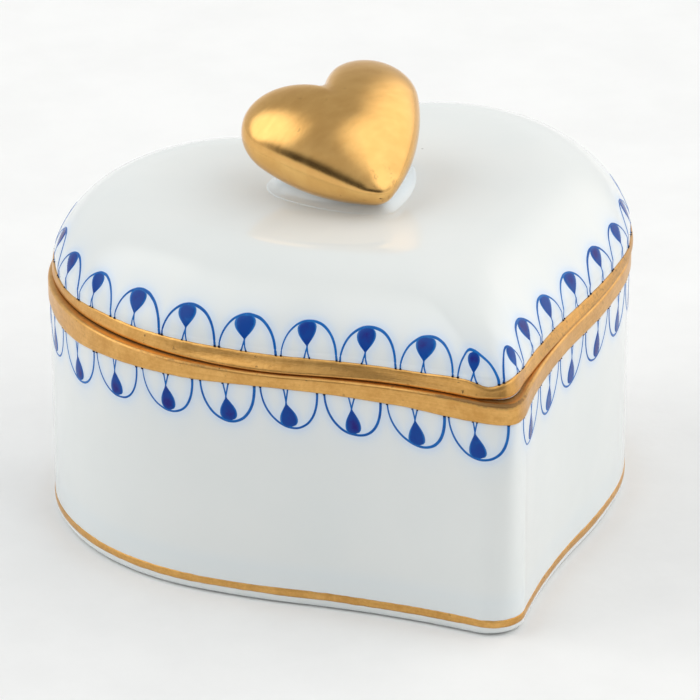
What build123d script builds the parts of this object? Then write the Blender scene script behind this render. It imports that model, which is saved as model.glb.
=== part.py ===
"""Heart-shaped porcelain trinket box: a straight-walled body, a domed lift-off lid and a gilded heart knob.

Millimetres, +Z up. The origin is the centre of the body's footprint at the level it stands on. The tip of
the heart points along -Y, the notch along +Y, and the two lobes lie either side of the YZ plane.
"""
import os
from build123d import *
from dataclasses import dataclass
from math import asin, atan2, cos, pi, radians, sin, sqrt

# ---- driving dimensions -----------------------------------------------------------------------------
TIP_RADIUS = 3.75           # rounding of the heart's tip
TIP_TURN = 51.8             # degrees turned from the tip to the start of a side
HOLLOW_RADIUS = 100.5       # long shallow hollow beside the tip
HOLLOW_TURN = 12.1
FLANK_RADIUS = 81.0         # long bulge between the hollow and the lobe
FLANK_TURN = 9.0
LOBE_SIDE_RADIUS = 28.8     # widest part of a lobe
LOBE_SIDE_TURN = 54.2
LOBE_BACK_RADIUS = 22.1     # rear of a lobe, running into the notch
NOTCH_RADIUS = 4.0          # rounding of the notch between the lobes

RIM_HEIGHT = 29.1           # height of the face that the lid rests on
GILT_PROUD = 0.2            # how far the rim gilding stands outside the wall
GILT_SKIN = 0.1             # gilding on the flat land of the rim
WALL = 2.9                  # thickness of the body's wall
FLOOR_TOP = 3.6             # height of the inside floor
FOOT_RECESS = 1.0           # depth of the hollow under the floor
FOOT_WIDTH = 4.4            # from the outside of the wall to the edge of that hollow
FOOT_ROUNDING = 1.1         # lower outside edge of the body
INSIDE_ROUNDING = 2.6       # where the inside wall meets the floor
BODY_BAND_HEIGHT = 2.2      # gilding on the body's rim
BODY_BAND_ROUNDING = 0.45   # upper edge of that gilding
FOOT_LINE_LOW = 1.2         # gilt line round the foot
FOOT_LINE_HIGH = 2.15
FOOT_LINE_PROUD = 0.06

LID_INSET = 0.3             # how much smaller the lid's outline is than the body's, each side
LID_BAND_HEIGHT = 1.8       # gilding on the lid's edge
DOME_INSET = 12.2           # run of the dome's shoulder, from the edge inwards
DOME_RISE = 11.2            # rise of the dome's shoulder
DOME_START = 28.35          # height at which that shoulder would stand upright
DOME_STEPS = 5              # sections that shape the dome and the hollow under it
HOLLOW_RUN = 5.0            # run of the shoulder of the hollow under the dome
LID_SEAT_WIDTH = 6.9        # flat underside of the lid's edge
LID_THICKNESS = 2.7         # at the crown
FLANGE_PLAY = 1.7           # room between the lid's flange and the body's inside wall
FLANGE_WIDTH = 2.0
FLANGE_DEPTH = 2.8
LID_SHIFT = (0.5, 0.8)      # the lid sits with part of its play taken up towards the back right
LID_TURN = -1.2             # degrees

KNOB_TIP_RADIUS = 2.12
KNOB_TIP_TURN = 32.8
KNOB_FLANK_RADIUS = 23.6
KNOB_FLANK_TURN = 35.2
KNOB_LOBE_RADIUS = 5.54
KNOB_NOTCH_RADIUS = 1.17
KNOB_THICKNESS = 10.7
KNOB_FULLNESS = 2.5         # 2 is an ellipse in section, more is squarer
KNOB_POLE = 0.8             # how far the fullest point lies behind the middle of the knob's length
KNOB_STEPS = 7              # sections above and below the fullest one
KNOB_POLE_ANGLE = 82        # the last section lies this many degrees up from the fullest one
KNOB_LEAN = 19.9            # degrees, tip down
KNOB_ROLL = -7.7            # degrees, right lobe up
KNOB_YAW = 3.2              # degrees, against the lid
KNOB_CENTRE = (-2.3, 4.3, 46.1)   # from the lid's own centre
SEAT_SCALE = 0.84           # knob seat against the knob's outline
SEAT_TAPER = 0.8            # upper outline of the seat against its lower one
SEAT_REACH = 2.6            # height to which the seat rises under the knob


@dataclass(frozen=True)
class Arc:
    """One arc of a half outline: its centre, radius, side (+1 bulges, -1 hollow) and headings."""

    x: float
    y: float
    radius: float
    side: int
    start: float
    end: float

    def at(self, heading, inset=0.0):
        """Point of the arc where the outline runs along a heading, moved inwards by an inset."""
        reach = self.side * (self.radius - self.side * inset)
        return Vector(self.x + reach * sin(heading), self.y - reach * cos(heading), 0)


def chain_arcs(steps):
    """Tangent arcs from the tip, heading along +X, for (signed radius, turn in degrees) steps."""
    x, y, heading = 0.0, 0.0, 0.0
    arcs = []
    for signed_radius, turn in steps:
        side = 1 if signed_radius > 0 else -1
        centre_x = x - signed_radius * sin(heading)
        centre_y = y + signed_radius * cos(heading)
        end = heading + side * radians(turn)
        arcs.append(Arc(centre_x, centre_y, abs(signed_radius), side, heading, end))
        x = centre_x + signed_radius * sin(end)
        y = centre_y - signed_radius * cos(end)
        heading = end
    return arcs


@dataclass(frozen=True)
class HeartForm:
    """A symmetric heart outline from tangent arcs, which can be drawn again at any inset."""

    arcs: list
    notch_radius: float
    centre_y: float

    def tip_fillet(self, inset, radius):
        """Centre height and end heading of the arc that closes the tip across the axis."""
        side_arc = self.arcs[1]
        reach = side_arc.radius - side_arc.side * (inset + radius)
        rise = sqrt(reach ** 2 - side_arc.x ** 2)
        y = side_arc.y - side_arc.side * rise
        heading = atan2(side_arc.side * -side_arc.x, side_arc.side * (side_arc.y - y))
        return y, heading

    def notch_fillet(self, inset, radius):
        """Centre height and start heading of the arc that closes the notch across the axis."""
        lobe = self.arcs[-1]
        rise = sqrt((lobe.radius - inset + radius) ** 2 - lobe.x ** 2)
        heading = atan2(-lobe.x, -rise) % (2 * pi)
        return lobe.y + rise, heading

    def wire(self, inset=0.0, tip_radius=None, notch_radius=None):
        """Closed outline at an inset, centred on the form's own centre."""
        tip_radius = tip_radius or self.arcs[0].radius
        notch_radius = notch_radius or self.notch_radius
        tip_y, tip_heading = self.tip_fillet(inset, tip_radius)
        notch_y, notch_heading = self.notch_fillet(inset, notch_radius)
        half = []
        for place, arc in enumerate(self.arcs[1:], start=1):
            start = tip_heading if place == 1 else arc.start
            end = notch_heading if place == len(self.arcs) - 1 else arc.end
            middle = (start + end) / 2
            half.append([arc.at(heading, inset) for heading in (start, middle, end)])
        tip_point = Vector(0, tip_y - tip_radius, 0)
        notch_point = Vector(0, notch_y - notch_radius, 0)
        mirrored = [[flip(point) for point in reversed(points)] for points in reversed(half)]
        triples = half + [[half[-1][2], notch_point, mirrored[0][0]]]
        triples += mirrored + [[mirrored[-1][2], tip_point, half[0][0]]]
        lift = Vector(0, -self.centre_y, 0)
        return Wire([ThreePointArc(*[point + lift for point in triple]) for triple in triples])

    def face(self, inset=0.0, height=0.0, tip_radius=None, notch_radius=None):
        """Flat heart at an inset and a height."""
        return Pos(0, 0, height) * Face(self.wire(inset, tip_radius, notch_radius))


def flip(point):
    """Mirror a point across the heart's axis."""
    return Vector(-point.X, point.Y, point.Z)


def make_form(steps, notch_radius, centre_share=0.5):
    """Heart form with its centre a given share of the way from the tip to the rear of the lobes."""
    arcs = chain_arcs(steps)
    length = arcs[-1].y + arcs[-1].radius
    return HeartForm(arcs, notch_radius, length * centre_share)


def block(form, inset, low, high, tip_radius=None, notch_radius=None):
    """Straight-sided heart between two heights."""
    return extrude(form.face(inset, low, tip_radius, notch_radius), amount=high - low, dir=(0, 0, 1))


def ring(form, outer_inset, inner_inset, low, high):
    """Straight-sided heart ring between two heights and two insets."""
    return block(form, outer_inset, low, high) - block(form, inner_inset, low, high)


def edges_at(solid, height):
    """Edges of a solid that lie in the level plane at a height."""
    return solid.edges().filter_by_position(Axis.Z, height - 0.001, height + 0.001)


BOX_FORM = make_form(
    [
        (TIP_RADIUS, TIP_TURN),
        (-HOLLOW_RADIUS, HOLLOW_TURN),
        (FLANK_RADIUS, FLANK_TURN),
        (LOBE_SIDE_RADIUS, LOBE_SIDE_TURN),
        (LOBE_BACK_RADIUS, 90),
    ],
    NOTCH_RADIUS,
)
KNOB_FORM = make_form(
    [
        (KNOB_TIP_RADIUS, KNOB_TIP_TURN),
        (KNOB_FLANK_RADIUS, KNOB_FLANK_TURN),
        (KNOB_LOBE_RADIUS, 120),
    ],
    KNOB_NOTCH_RADIUS,
)

# ---- derived sizes ----------------------------------------------------------------------------------
WALL_OUTSIDE = GILT_PROUD                       # insets are measured from the gilded rim's outline
WALL_INSIDE = WALL_OUTSIDE + WALL
SHELL_TOP = RIM_HEIGHT - GILT_SKIN
FLANGE_OUTSIDE = WALL_INSIDE + FLANGE_PLAY
FLANGE_INSIDE = FLANGE_OUTSIDE + FLANGE_WIDTH
LID_EDGE = LID_INSET + GILT_PROUD
LID_BAND_TOP = RIM_HEIGHT + LID_BAND_HEIGHT
CROWN_HEIGHT = DOME_START + DOME_RISE


def dome_inset(height):
    """Inset of the dome's elliptical shoulder at a height."""
    share = (height - DOME_START) / DOME_RISE
    return DOME_INSET * (1 - sqrt(max(0.0, 1 - share ** 2)))


def softened(inset):
    """Tip and notch radii of the dome's outline, which grow rounder towards the crown."""
    return TIP_RADIUS + 0.35 * inset, NOTCH_RADIUS + 0.9 * inset


def dome_section(inset, height):
    """Level section through the dome."""
    tip_radius, notch_radius = softened(inset)
    return BOX_FORM.face(inset, height, tip_radius, notch_radius)


# ---- the body and what stays on it ------------------------------------------------------------------
def make_body_shell():
    """Cast body: upright wall, floor and a shallow hollow underneath that leaves a foot all round."""
    shell = block(BOX_FORM, WALL_OUTSIDE, 0, SHELL_TOP)
    shell = fillet(edges_at(shell, 0), FOOT_ROUNDING)
    cavity = block(BOX_FORM, WALL_INSIDE, FLOOR_TOP, SHELL_TOP + 1)
    cavity = fillet(edges_at(cavity, FLOOR_TOP), INSIDE_ROUNDING)
    recess = block(BOX_FORM, WALL_OUTSIDE + FOOT_WIDTH, -1, FOOT_RECESS)
    return shell - cavity - recess


def make_body_rim_gilding():
    """Gilding round the top of the wall and over the land that the lid rests on."""
    low = RIM_HEIGHT - BODY_BAND_HEIGHT
    band = block(BOX_FORM, 0, low, RIM_HEIGHT)
    band = fillet(edges_at(band, RIM_HEIGHT), BODY_BAND_ROUNDING)
    wall_top = block(BOX_FORM, WALL_OUTSIDE, low - 1, SHELL_TOP)
    opening = block(BOX_FORM, WALL_INSIDE, low - 1, RIM_HEIGHT + 1)
    return band - wall_top - opening


def make_foot_gilt_line():
    """Fine gilt line round the wall just above its lower edge."""
    return ring(BOX_FORM, WALL_OUTSIDE - FOOT_LINE_PROUD, WALL_OUTSIDE, FOOT_LINE_LOW, FOOT_LINE_HIGH)


# ---- the lid and what stays on it -------------------------------------------------------------------
def make_lid_shell():
    """Cast lid: thick flat edge below, domed above, hollow inside the locating flange."""
    shoulder_foot = asin((LID_BAND_TOP - DOME_START) / DOME_RISE)
    sections = [dome_section(LID_EDGE, LID_BAND_TOP)]
    for step in range(1, DOME_STEPS + 1):
        angle = shoulder_foot + (pi / 2 - shoulder_foot) * step / DOME_STEPS
        height = DOME_START + DOME_RISE * sin(angle)
        sections.append(dome_section(dome_inset(height), height))
    edge = block(BOX_FORM, LID_EDGE, RIM_HEIGHT, LID_BAND_TOP)
    return edge + loft(sections) - make_lid_hollow()


def make_lid_hollow():
    """Space under the lid's crown, open downwards."""
    rise = CROWN_HEIGHT - LID_THICKNESS - RIM_HEIGHT
    sections = []
    for step in range(DOME_STEPS + 1):
        angle = pi / 2 * step / DOME_STEPS
        inset = LID_SEAT_WIDTH + HOLLOW_RUN * (1 - cos(angle))
        sections.append(dome_section(inset, RIM_HEIGHT + rise * sin(angle)))
    mouth = extrude(dome_section(LID_SEAT_WIDTH, RIM_HEIGHT), amount=1, dir=(0, 0, -1))
    return loft(sections) + mouth


def make_lid_locating_flange():
    """Ring under the lid that drops inside the body's wall and stops the lid sliding off."""
    low = RIM_HEIGHT - FLANGE_DEPTH
    flange = block(BOX_FORM, FLANGE_OUTSIDE, low, RIM_HEIGHT, *softened(FLANGE_OUTSIDE))
    flange = fillet(edges_at(flange, low), 0.6)
    return flange - block(BOX_FORM, FLANGE_INSIDE, low - 1, RIM_HEIGHT + 1, *softened(FLANGE_INSIDE))


def make_lid_rim_gilding():
    """Gilding round the lid's edge."""
    return ring(BOX_FORM, LID_INSET, LID_EDGE, RIM_HEIGHT, LID_BAND_TOP)


def lean_knob(shape):
    """Put a shape drawn about the knob's own centre where the knob sits on the lid."""
    return Pos(*KNOB_CENTRE) * Rot(0, 0, KNOB_YAW) * Rot(0, KNOB_ROLL, 0) * Rot(KNOB_LEAN, 0, 0) * shape


def make_heart_knob():
    """Full, rounded heart: the outline shrinks towards a pole above and below."""
    outline = Pos(0, -KNOB_POLE, 0) * KNOB_FORM.face()
    sections = []
    for step in range(-KNOB_STEPS, KNOB_STEPS + 1):
        share = sin(radians(KNOB_POLE_ANGLE) * step / KNOB_STEPS)
        shrink = sqrt(1 - abs(share) ** KNOB_FULLNESS)
        sections.append(Pos(0, 0, share * KNOB_THICKNESS / 2) * scale(outline, by=(shrink, shrink, 1)))
    return lean_knob(loft(sections))


def make_knob_seat(knob):
    """Low glazed pad that joins the knob to the lid, hollowed where the knob beds into it."""
    place = Pos(KNOB_CENTRE[0], KNOB_CENTRE[1], CROWN_HEIGHT) * Rot(0, 0, KNOB_YAW)
    low = scale(KNOB_FORM.face(), by=(SEAT_SCALE, SEAT_SCALE, 1))
    high = scale(low, by=(SEAT_TAPER, SEAT_TAPER, 1))
    return loft([place * low, place * Pos(0, 0, SEAT_REACH) * high]) - knob


def set_on_body(shape):
    """Put a lid piece, drawn centred over the body, where the lid sits."""
    return Pos(LID_SHIFT[0], LID_SHIFT[1], 0) * Rot(0, 0, LID_TURN) * shape


def main():
    """Build every piece and write it to parts/."""
    knob = make_heart_knob()
    pieces = {
        "body_shell": make_body_shell(),
        "body_rim_gilding": make_body_rim_gilding(),
        "foot_gilt_line": make_foot_gilt_line(),
        "lid_shell": set_on_body(make_lid_shell()),
        "lid_locating_flange": set_on_body(make_lid_locating_flange()),
        "lid_rim_gilding": set_on_body(make_lid_rim_gilding()),
        "knob_seat": set_on_body(make_knob_seat(knob)),
        "heart_knob": set_on_body(knob),
    }
    os.makedirs("parts", exist_ok=True)
    for name, piece in pieces.items():
        export_step(piece, f"parts/{name}.step")
        box = piece.bounding_box()
        print(name, round(piece.volume, 1), "mm3", box.min, box.max)


main()
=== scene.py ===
"""Heart-shaped porcelain trinket box with gilded rims, a gilded heart knob and a painted blue border.

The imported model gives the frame. Every visible piece is modelled again here with smooth walls and hand-made
unevenness, and rides on the body that its CAD node belongs to. Lengths are in millimetres until a mesh is
finished, and metres afterwards.
"""

import logging
import math
import random
from dataclasses import dataclass, field
from enum import Enum
from typing import Callable, ClassVar, Sequence

import bmesh
import bpy
from mathutils import Matrix, Vector, kdtree, noise


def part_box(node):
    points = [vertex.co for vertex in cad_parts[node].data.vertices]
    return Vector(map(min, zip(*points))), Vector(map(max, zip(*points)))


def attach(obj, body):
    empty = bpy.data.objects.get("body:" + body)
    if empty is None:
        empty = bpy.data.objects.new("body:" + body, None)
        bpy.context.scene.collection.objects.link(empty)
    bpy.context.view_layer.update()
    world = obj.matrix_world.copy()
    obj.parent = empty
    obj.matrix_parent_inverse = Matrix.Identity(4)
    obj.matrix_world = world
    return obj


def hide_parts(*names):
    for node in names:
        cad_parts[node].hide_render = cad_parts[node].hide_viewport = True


LOG = logging.getLogger("trinket_box")
MM = 0.001
FULL_TURN = 2 * math.pi
START_RADIUS = 0.03      # of the circle that a sweep grows from, in metres
WELD = 1e-7              # points nearer than this are one, in metres


class Part(Enum):
    """The two bodies of the box, by their names in the frame."""

    BASE = "base"
    LID = "lid"


class Slot(Enum):
    """The record's material slots that the pieces take their finish from."""

    PORCELAIN = "glazed_porcelain"
    BISCUIT = "biscuit_porcelain"
    RIM_GOLD = "rim_gold"
    LINER_GOLD = "liner_gold"
    BURNISHED_GOLD = "burnished_gold"
    COBALT = "cobalt_enamel"


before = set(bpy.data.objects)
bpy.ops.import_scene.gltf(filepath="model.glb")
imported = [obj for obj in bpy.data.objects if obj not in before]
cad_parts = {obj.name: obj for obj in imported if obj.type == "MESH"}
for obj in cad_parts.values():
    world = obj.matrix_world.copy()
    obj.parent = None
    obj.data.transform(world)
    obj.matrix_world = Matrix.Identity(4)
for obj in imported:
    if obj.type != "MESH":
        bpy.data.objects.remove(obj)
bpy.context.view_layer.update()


def level(node: str, top: bool) -> float:
    """Height of the top or the underside of a CAD node, in millimetres."""
    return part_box(node)[1 if top else 0].z / MM


# ---- the heart's outline ----------------------------------------------------------------------------
@dataclass(frozen=True)
class Bend:
    """One tangent arc of the heart's half outline: its radius, below 0 for a hollow, and turn in degrees."""

    radius: float
    turn: float


@dataclass(frozen=True)
class Span:
    """An arc placed on the plan: its centre, signed radius and the headings at its two ends."""

    x: float
    y: float
    radius: float
    start: float
    end: float

    def at(self, share: float) -> tuple[float, float, float, float]:
        """Point and outward normal at a place on the arc.

        Args:
            share: how far along the arc, from 0 to 1.

        Returns:
            x, y, and the outward normal's x and y.
        """
        heading = self.start + (self.end - self.start) * share
        across, along = math.sin(heading), -math.cos(heading)
        return self.x + self.radius * across, self.y + self.radius * along, across, along

    @property
    def length(self) -> float:
        """Length of the arc."""
        return abs(self.radius * (self.end - self.start))


BOX_BENDS = (Bend(3.75, 51.8), Bend(-100.5, 12.1), Bend(81.0, 9.0), Bend(28.8, 54.2), Bend(22.1, 90.0))
KNOB_BENDS = (Bend(2.21, 33.1), Bend(23.67, 35.5), Bend(5.525, 120.0))


class HeartOutline:
    """A symmetric heart of tangent arcs, which can be walked along at any inset.

    Distances run from the tip, positive along the right-hand side (+X) and negative along the left.
    """

    def __init__(self, bends: Sequence[Bend], notch_radius: float, scale: float = 1.0) -> None:
        """Lay out the arcs.

        Args:
            bends: arcs from the tip to the back of the lobe, the first one being the tip's own rounding.
            notch_radius: rounding of the notch between the lobes.
            scale: size against the nominal arcs.
        """
        self.tip_radius = bends[0].radius * scale
        self.notch_radius = notch_radius * scale
        self.side_spans: list[Span] = []
        x = y = heading = 0.0
        for bend in bends:
            radius = bend.radius * scale
            turn = math.copysign(math.radians(bend.turn), radius)
            centre_x = x - radius * math.sin(heading)
            centre_y = y + radius * math.cos(heading)
            self.side_spans.append(Span(centre_x, centre_y, radius, heading, heading + turn))
            heading += turn
            x = centre_x + radius * math.sin(heading)
            y = centre_y - radius * math.cos(heading)
        lobe = self.side_spans[-1]
        self.centre_y = (lobe.y + lobe.radius) / 2
        self._rings: dict[tuple[float, float, float], list[Span]] = {}
        self.base = self.spans(0.0, self.tip_radius, self.notch_radius)
        self.half_length = sum(span.length for span in self.base)

    def spans(self, inset: float, tip_radius: float, notch_radius: float) -> list[Span]:
        """Arcs of the right-hand half at an inset.

        Args:
            inset: how far inside the outline the ring runs.
            tip_radius: its rounding at the tip.
            notch_radius: its rounding at the notch.

        Returns:
            The arcs, from the tip to the notch, one for each arc of the nominal outline.
        """
        key = (round(inset, 4), round(tip_radius, 4), round(notch_radius, 4))
        if key in self._rings:
            return self._rings[key]
        side, lobe = self.side_spans[1], self.side_spans[-1]
        sign = math.copysign(1.0, side.radius)
        reach = abs(side.radius) - sign * (inset + tip_radius)
        tip_y = side.y - sign * math.sqrt(reach ** 2 - side.x ** 2)
        tip_heading = math.atan2(-sign * side.x, sign * (side.y - tip_y))
        rise = math.sqrt((lobe.radius - inset + notch_radius) ** 2 - lobe.x ** 2)
        notch_heading = math.atan2(-lobe.x, -rise) % FULL_TURN
        ring = [Span(0.0, tip_y, tip_radius, 0.0, tip_heading)]
        last = len(self.side_spans) - 1
        for place, span in enumerate(self.side_spans[1:], start=1):
            start = tip_heading if place == 1 else span.start
            end = notch_heading if place == last else span.end
            ring.append(Span(span.x, span.y, span.radius - inset, start, end))
        ring.append(Span(0.0, lobe.y + rise, -notch_radius, notch_heading, math.pi))
        self._rings[key] = ring
        return ring

    def spot(self, distance: float, inset: float = 0.0, tip_growth: float = 0.0,
             notch_growth: float = 0.0) -> tuple[float, float, float, float]:
        """Point and outward normal in plan.

        Args:
            distance: millimetres along the outline from the tip, at no inset.
            inset: how far inside the outline the point lies.
            tip_growth: how much the tip's rounding grows with each millimetre of inset.
            notch_growth: the same for the notch.

        Returns:
            x, y, and the outward normal's x and y, with y counted from the outline's middle.
        """
        girth = 2 * self.half_length
        distance = (distance + self.half_length) % girth - self.half_length
        mirror = -1.0 if distance < 0 else 1.0
        left = abs(distance)
        place = 0
        while place < len(self.base) - 1 and left > self.base[place].length:
            left -= self.base[place].length
            place += 1
        ring = self.spans(
            inset, self.tip_radius + tip_growth * inset, self.notch_radius + notch_growth * inset
        )
        x, y, across, along = ring[place].at(min(1.0, left / self.base[place].length))
        return mirror * x, y - self.centre_y, mirror * across, along


# ---- how the heart is bent in the kiln, and where the lid sits --------------------------------------
@dataclass(frozen=True)
class Firing:
    """The rims of a fired box are never quite level or round."""

    rise_to_right: float = 0.0165      # rise of the rim per millimetre towards +X
    rise_to_notch: float = 0.0075
    rim_height: float = 29.1
    wander: float = 0.07               # slow unevenness of the walls
    wander_size: float = 21.0          # length over which it changes
    sag: float = 0.3                   # dip of the rim part way along the front left side
    sag_place: tuple[float, float] = (-20.5, -11.5)
    sag_size: float = 12.0
    spread: float = 0.012              # widening of the right-hand side per millimetre, at the rim
    keel: float = 0.8                  # how far the tip is drawn out at the rim
    keel_place: float = 0.2
    keel_width: float = 1.8
    keel_run: tuple[float, float] = (-24.0, -30.0)     # where the drawing-out starts and is complete
    settling: float = 0.4              # share of the wander that goes up and down

    def bend(self, point: Vector) -> Vector:
        """Where firing moves a point.

        Args:
            point: a point of the box as it was drawn, in millimetres.

        Returns:
            Where it lies after firing.
        """
        share = min(1.0, max(0.0, point.z / self.rim_height))
        slow = noise.noise_vector(point / self.wander_size) * self.wander * share
        lift = share * (self.rise_to_right * point.x + self.rise_to_notch * point.y)
        away = math.hypot(point.x - self.sag_place[0], point.y - self.sag_place[1])
        lift -= share * self.sag * math.exp(-(away / self.sag_size) ** 2)
        near, far = self.keel_run
        reach = min(1.0, max(0.0, (near - point.y) / (near - far)))
        draw = share * self.keel * reach ** 2 * (3 - 2 * reach)
        draw *= math.exp(-((point.x - self.keel_place) / self.keel_width) ** 2)
        wide = share * self.spread * max(0.0, point.x)
        return point + Vector((slow.x + wide, slow.y - draw, lift + self.settling * slow.z))


@dataclass(frozen=True)
class LidRest:
    """Where the lid sits on the body, with part of its play taken up."""

    shift: tuple[float, float] = (0.5, 0.8)
    turn: float = -1.2

    def place(self, point: Vector) -> Vector:
        """Where the lid's play puts a point.

        Args:
            point: a point of the lid drawn centred on the body, in millimetres.

        Returns:
            Where it lies when the lid is put on.
        """
        angle = math.radians(self.turn)
        x = point.x * math.cos(angle) - point.y * math.sin(angle) + self.shift[0]
        y = point.x * math.sin(angle) + point.y * math.cos(angle) + self.shift[1]
        return Vector((x, y, point.z))


# ---- modelling bench: operators and small mesh helpers ----------------------------------------------
def lone(piece: bpy.types.Object) -> bpy.types.Object:
    """Deselect everything and make one piece active.

    Args:
        piece: the piece to work on.

    Returns:
        The same piece.
    """
    bpy.ops.object.select_all(action="DESELECT")
    piece.select_set(True)
    bpy.context.view_layer.objects.active = piece
    return piece


def turn_faces_out(piece: bpy.types.Object) -> bpy.types.Object:
    """Merge doubled points, point every face outwards and shade the piece smooth.

    Args:
        piece: a closed mesh.

    Returns:
        The same piece.
    """
    lone(piece)
    bpy.ops.object.mode_set(mode="EDIT")
    bpy.ops.mesh.select_all(action="SELECT")
    bpy.ops.mesh.remove_doubles(threshold=WELD)
    bpy.ops.mesh.normals_make_consistent(inside=False)
    bpy.ops.object.mode_set(mode="OBJECT")
    bpy.ops.object.shade_smooth()
    return piece


def apply_modifier(piece: bpy.types.Object, kind: str, **settings: object) -> None:
    """Add a modifier, set it and apply it.

    Args:
        piece: the piece to work on.
        kind: the modifier's type.
        settings: its properties.
    """
    lone(piece)
    modifier = piece.modifiers.new(kind.title(), kind)
    for name, value in settings.items():
        setattr(modifier, name, value)
    bpy.ops.object.modifier_apply(modifier=modifier.name)


def join(pieces: Sequence[bpy.types.Object], name: str) -> bpy.types.Object:
    """Join pieces into one.

    Args:
        pieces: the pieces, which are used up.
        name: the new piece's name.

    Returns:
        The joined piece.
    """
    bpy.ops.object.select_all(action="DESELECT")
    for piece in pieces:
        piece.select_set(True)
    bpy.context.view_layer.objects.active = pieces[0]
    bpy.ops.object.join()
    joined = bpy.context.view_layer.objects.active
    joined.name = name
    joined.data.name = name
    return joined


def set_attribute(piece: bpy.types.Object, name: str, values: Sequence[float]) -> None:
    """Store one number a point on a mesh."""
    layer = piece.data.attributes.get(name) or piece.data.attributes.new(name, "FLOAT", "POINT")
    layer.data.foreach_set("value", list(values))


def set_vector_attribute(piece: bpy.types.Object, name: str, values: Sequence[Vector]) -> None:
    """Store one vector a point on a mesh."""
    layer = piece.data.attributes.get(name) or piece.data.attributes.new(name, "FLOAT_VECTOR", "POINT")
    layer.data.foreach_set("vector", [number for value in values for number in value])


@dataclass(frozen=True)
class Rung:
    """One level ring of a heart-shaped wall: its inset, its height and its shrink towards a pole."""

    inset: float
    height: float
    shrink: float = 1.0


@dataclass(frozen=True)
class Sweep:
    """How a profile of rungs is carried round a heart outline."""

    outline: HeartOutline
    stations: int
    place: Callable[[Vector], Vector]
    pole: tuple[float, float] = (0.0, 0.0)
    tip_growth: float = 0.0
    notch_growth: float = 0.0
    wobble: Callable[[float, int], float] = field(default=lambda distance, place: 0.0)
    sway: Callable[[float, Rung], float] = field(default=lambda distance, rung: 0.0)

    def distance(self, station: int) -> float:
        """Distance of a station from the tip."""
        return 2 * self.outline.half_length * station / self.stations

    def point(self, station: int, place: int, rung: Rung) -> Vector:
        """Where a point of the sweep lies.

        Args:
            station: its place round the outline.
            place: its rung's place in the profile.
            rung: that rung.

        Returns:
            The point, in metres.
        """
        distance = self.distance(station)
        height = rung.height + self.wobble(distance, place)
        inset = rung.inset + self.sway(distance, Rung(rung.inset, height))
        x, y, _, _ = self.outline.spot(distance, inset, self.tip_growth, self.notch_growth)
        x = self.pole[0] + (x - self.pole[0]) * rung.shrink
        y = self.pole[1] + (y - self.pole[1]) * rung.shrink
        return self.place(Vector((x, y, height))) * MM

    def along(self, piece: bpy.types.Object, value: Callable[[float, int], float]) -> list[float]:
        """A value at each point of a finished sweep, by its distance from the tip and its rung."""
        stations, places = (piece.data.attributes[name].data for name in ("station", "rung"))
        return [value(self.distance(station.value), place.value) for station, place in zip(stations, places)]

    def build(self, name: str, rungs: Sequence[Rung], ends: "Ends") -> bpy.types.Object:
        """Extrude a circle of points rung by rung round the outline.

        Args:
            name: the new piece's name.
            rungs: the profile, from its first ring to its last.
            ends: whether the two end rings are capped at a pole or bridged to each other.

        Returns:
            The finished mesh, with the attribute "sweep" holding where each point lies on the surface.
        """
        bpy.ops.object.select_all(action="DESELECT")
        bpy.ops.mesh.primitive_circle_add(vertices=self.stations, radius=START_RADIUS, location=(0, 0, 0))
        piece = bpy.context.view_layer.objects.active
        piece.name = name
        piece.data.name = name
        bpy.ops.object.mode_set(mode="EDIT")
        mesh = bmesh.from_edit_mesh(piece.data)
        station_of = mesh.verts.layers.int.new("station")
        rung_of = mesh.verts.layers.int.new("rung")
        for station, vert in enumerate(mesh.verts):
            vert[station_of] = station
        for place, rung in enumerate(rungs):
            if place:
                bpy.ops.mesh.extrude_region_move()
                mesh = bmesh.from_edit_mesh(piece.data)
                station_of = mesh.verts.layers.int["station"]
                rung_of = mesh.verts.layers.int["rung"]
            for vert in mesh.verts:
                if vert.select:
                    vert.co = self.point(vert[station_of], place, rung)
                    vert[rung_of] = place
            bmesh.update_edit_mesh(piece.data)
        ends.close(piece, len(rungs) - 1)
        bpy.ops.object.mode_set(mode="OBJECT")
        self._mark(piece, rungs)
        return turn_faces_out(piece)

    def _mark(self, piece: bpy.types.Object, rungs: Sequence[Rung]) -> None:
        """Store each point's place round the outline, as a circle so that it has no seam, and up the profile.

        Args:
            piece: the swept mesh, with its stations and rungs as attributes.
            rungs: the profile.
        """
        stations = [0] * len(piece.data.vertices)
        places = [0] * len(piece.data.vertices)
        piece.data.attributes["station"].data.foreach_get("value", stations)
        piece.data.attributes["rung"].data.foreach_get("value", places)
        run = [0.0]
        for before, after in zip(rungs, rungs[1:]):
            run.append(run[-1] + math.hypot(after.inset - before.inset, after.height - before.height))
        radius = self.outline.half_length / math.pi
        values = []
        for station, place in zip(stations, places):
            angle = FULL_TURN * station / self.stations
            values.append(Vector((radius * math.cos(angle), radius * math.sin(angle), run[place])))
        set_vector_attribute(piece, "sweep", values)


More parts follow.
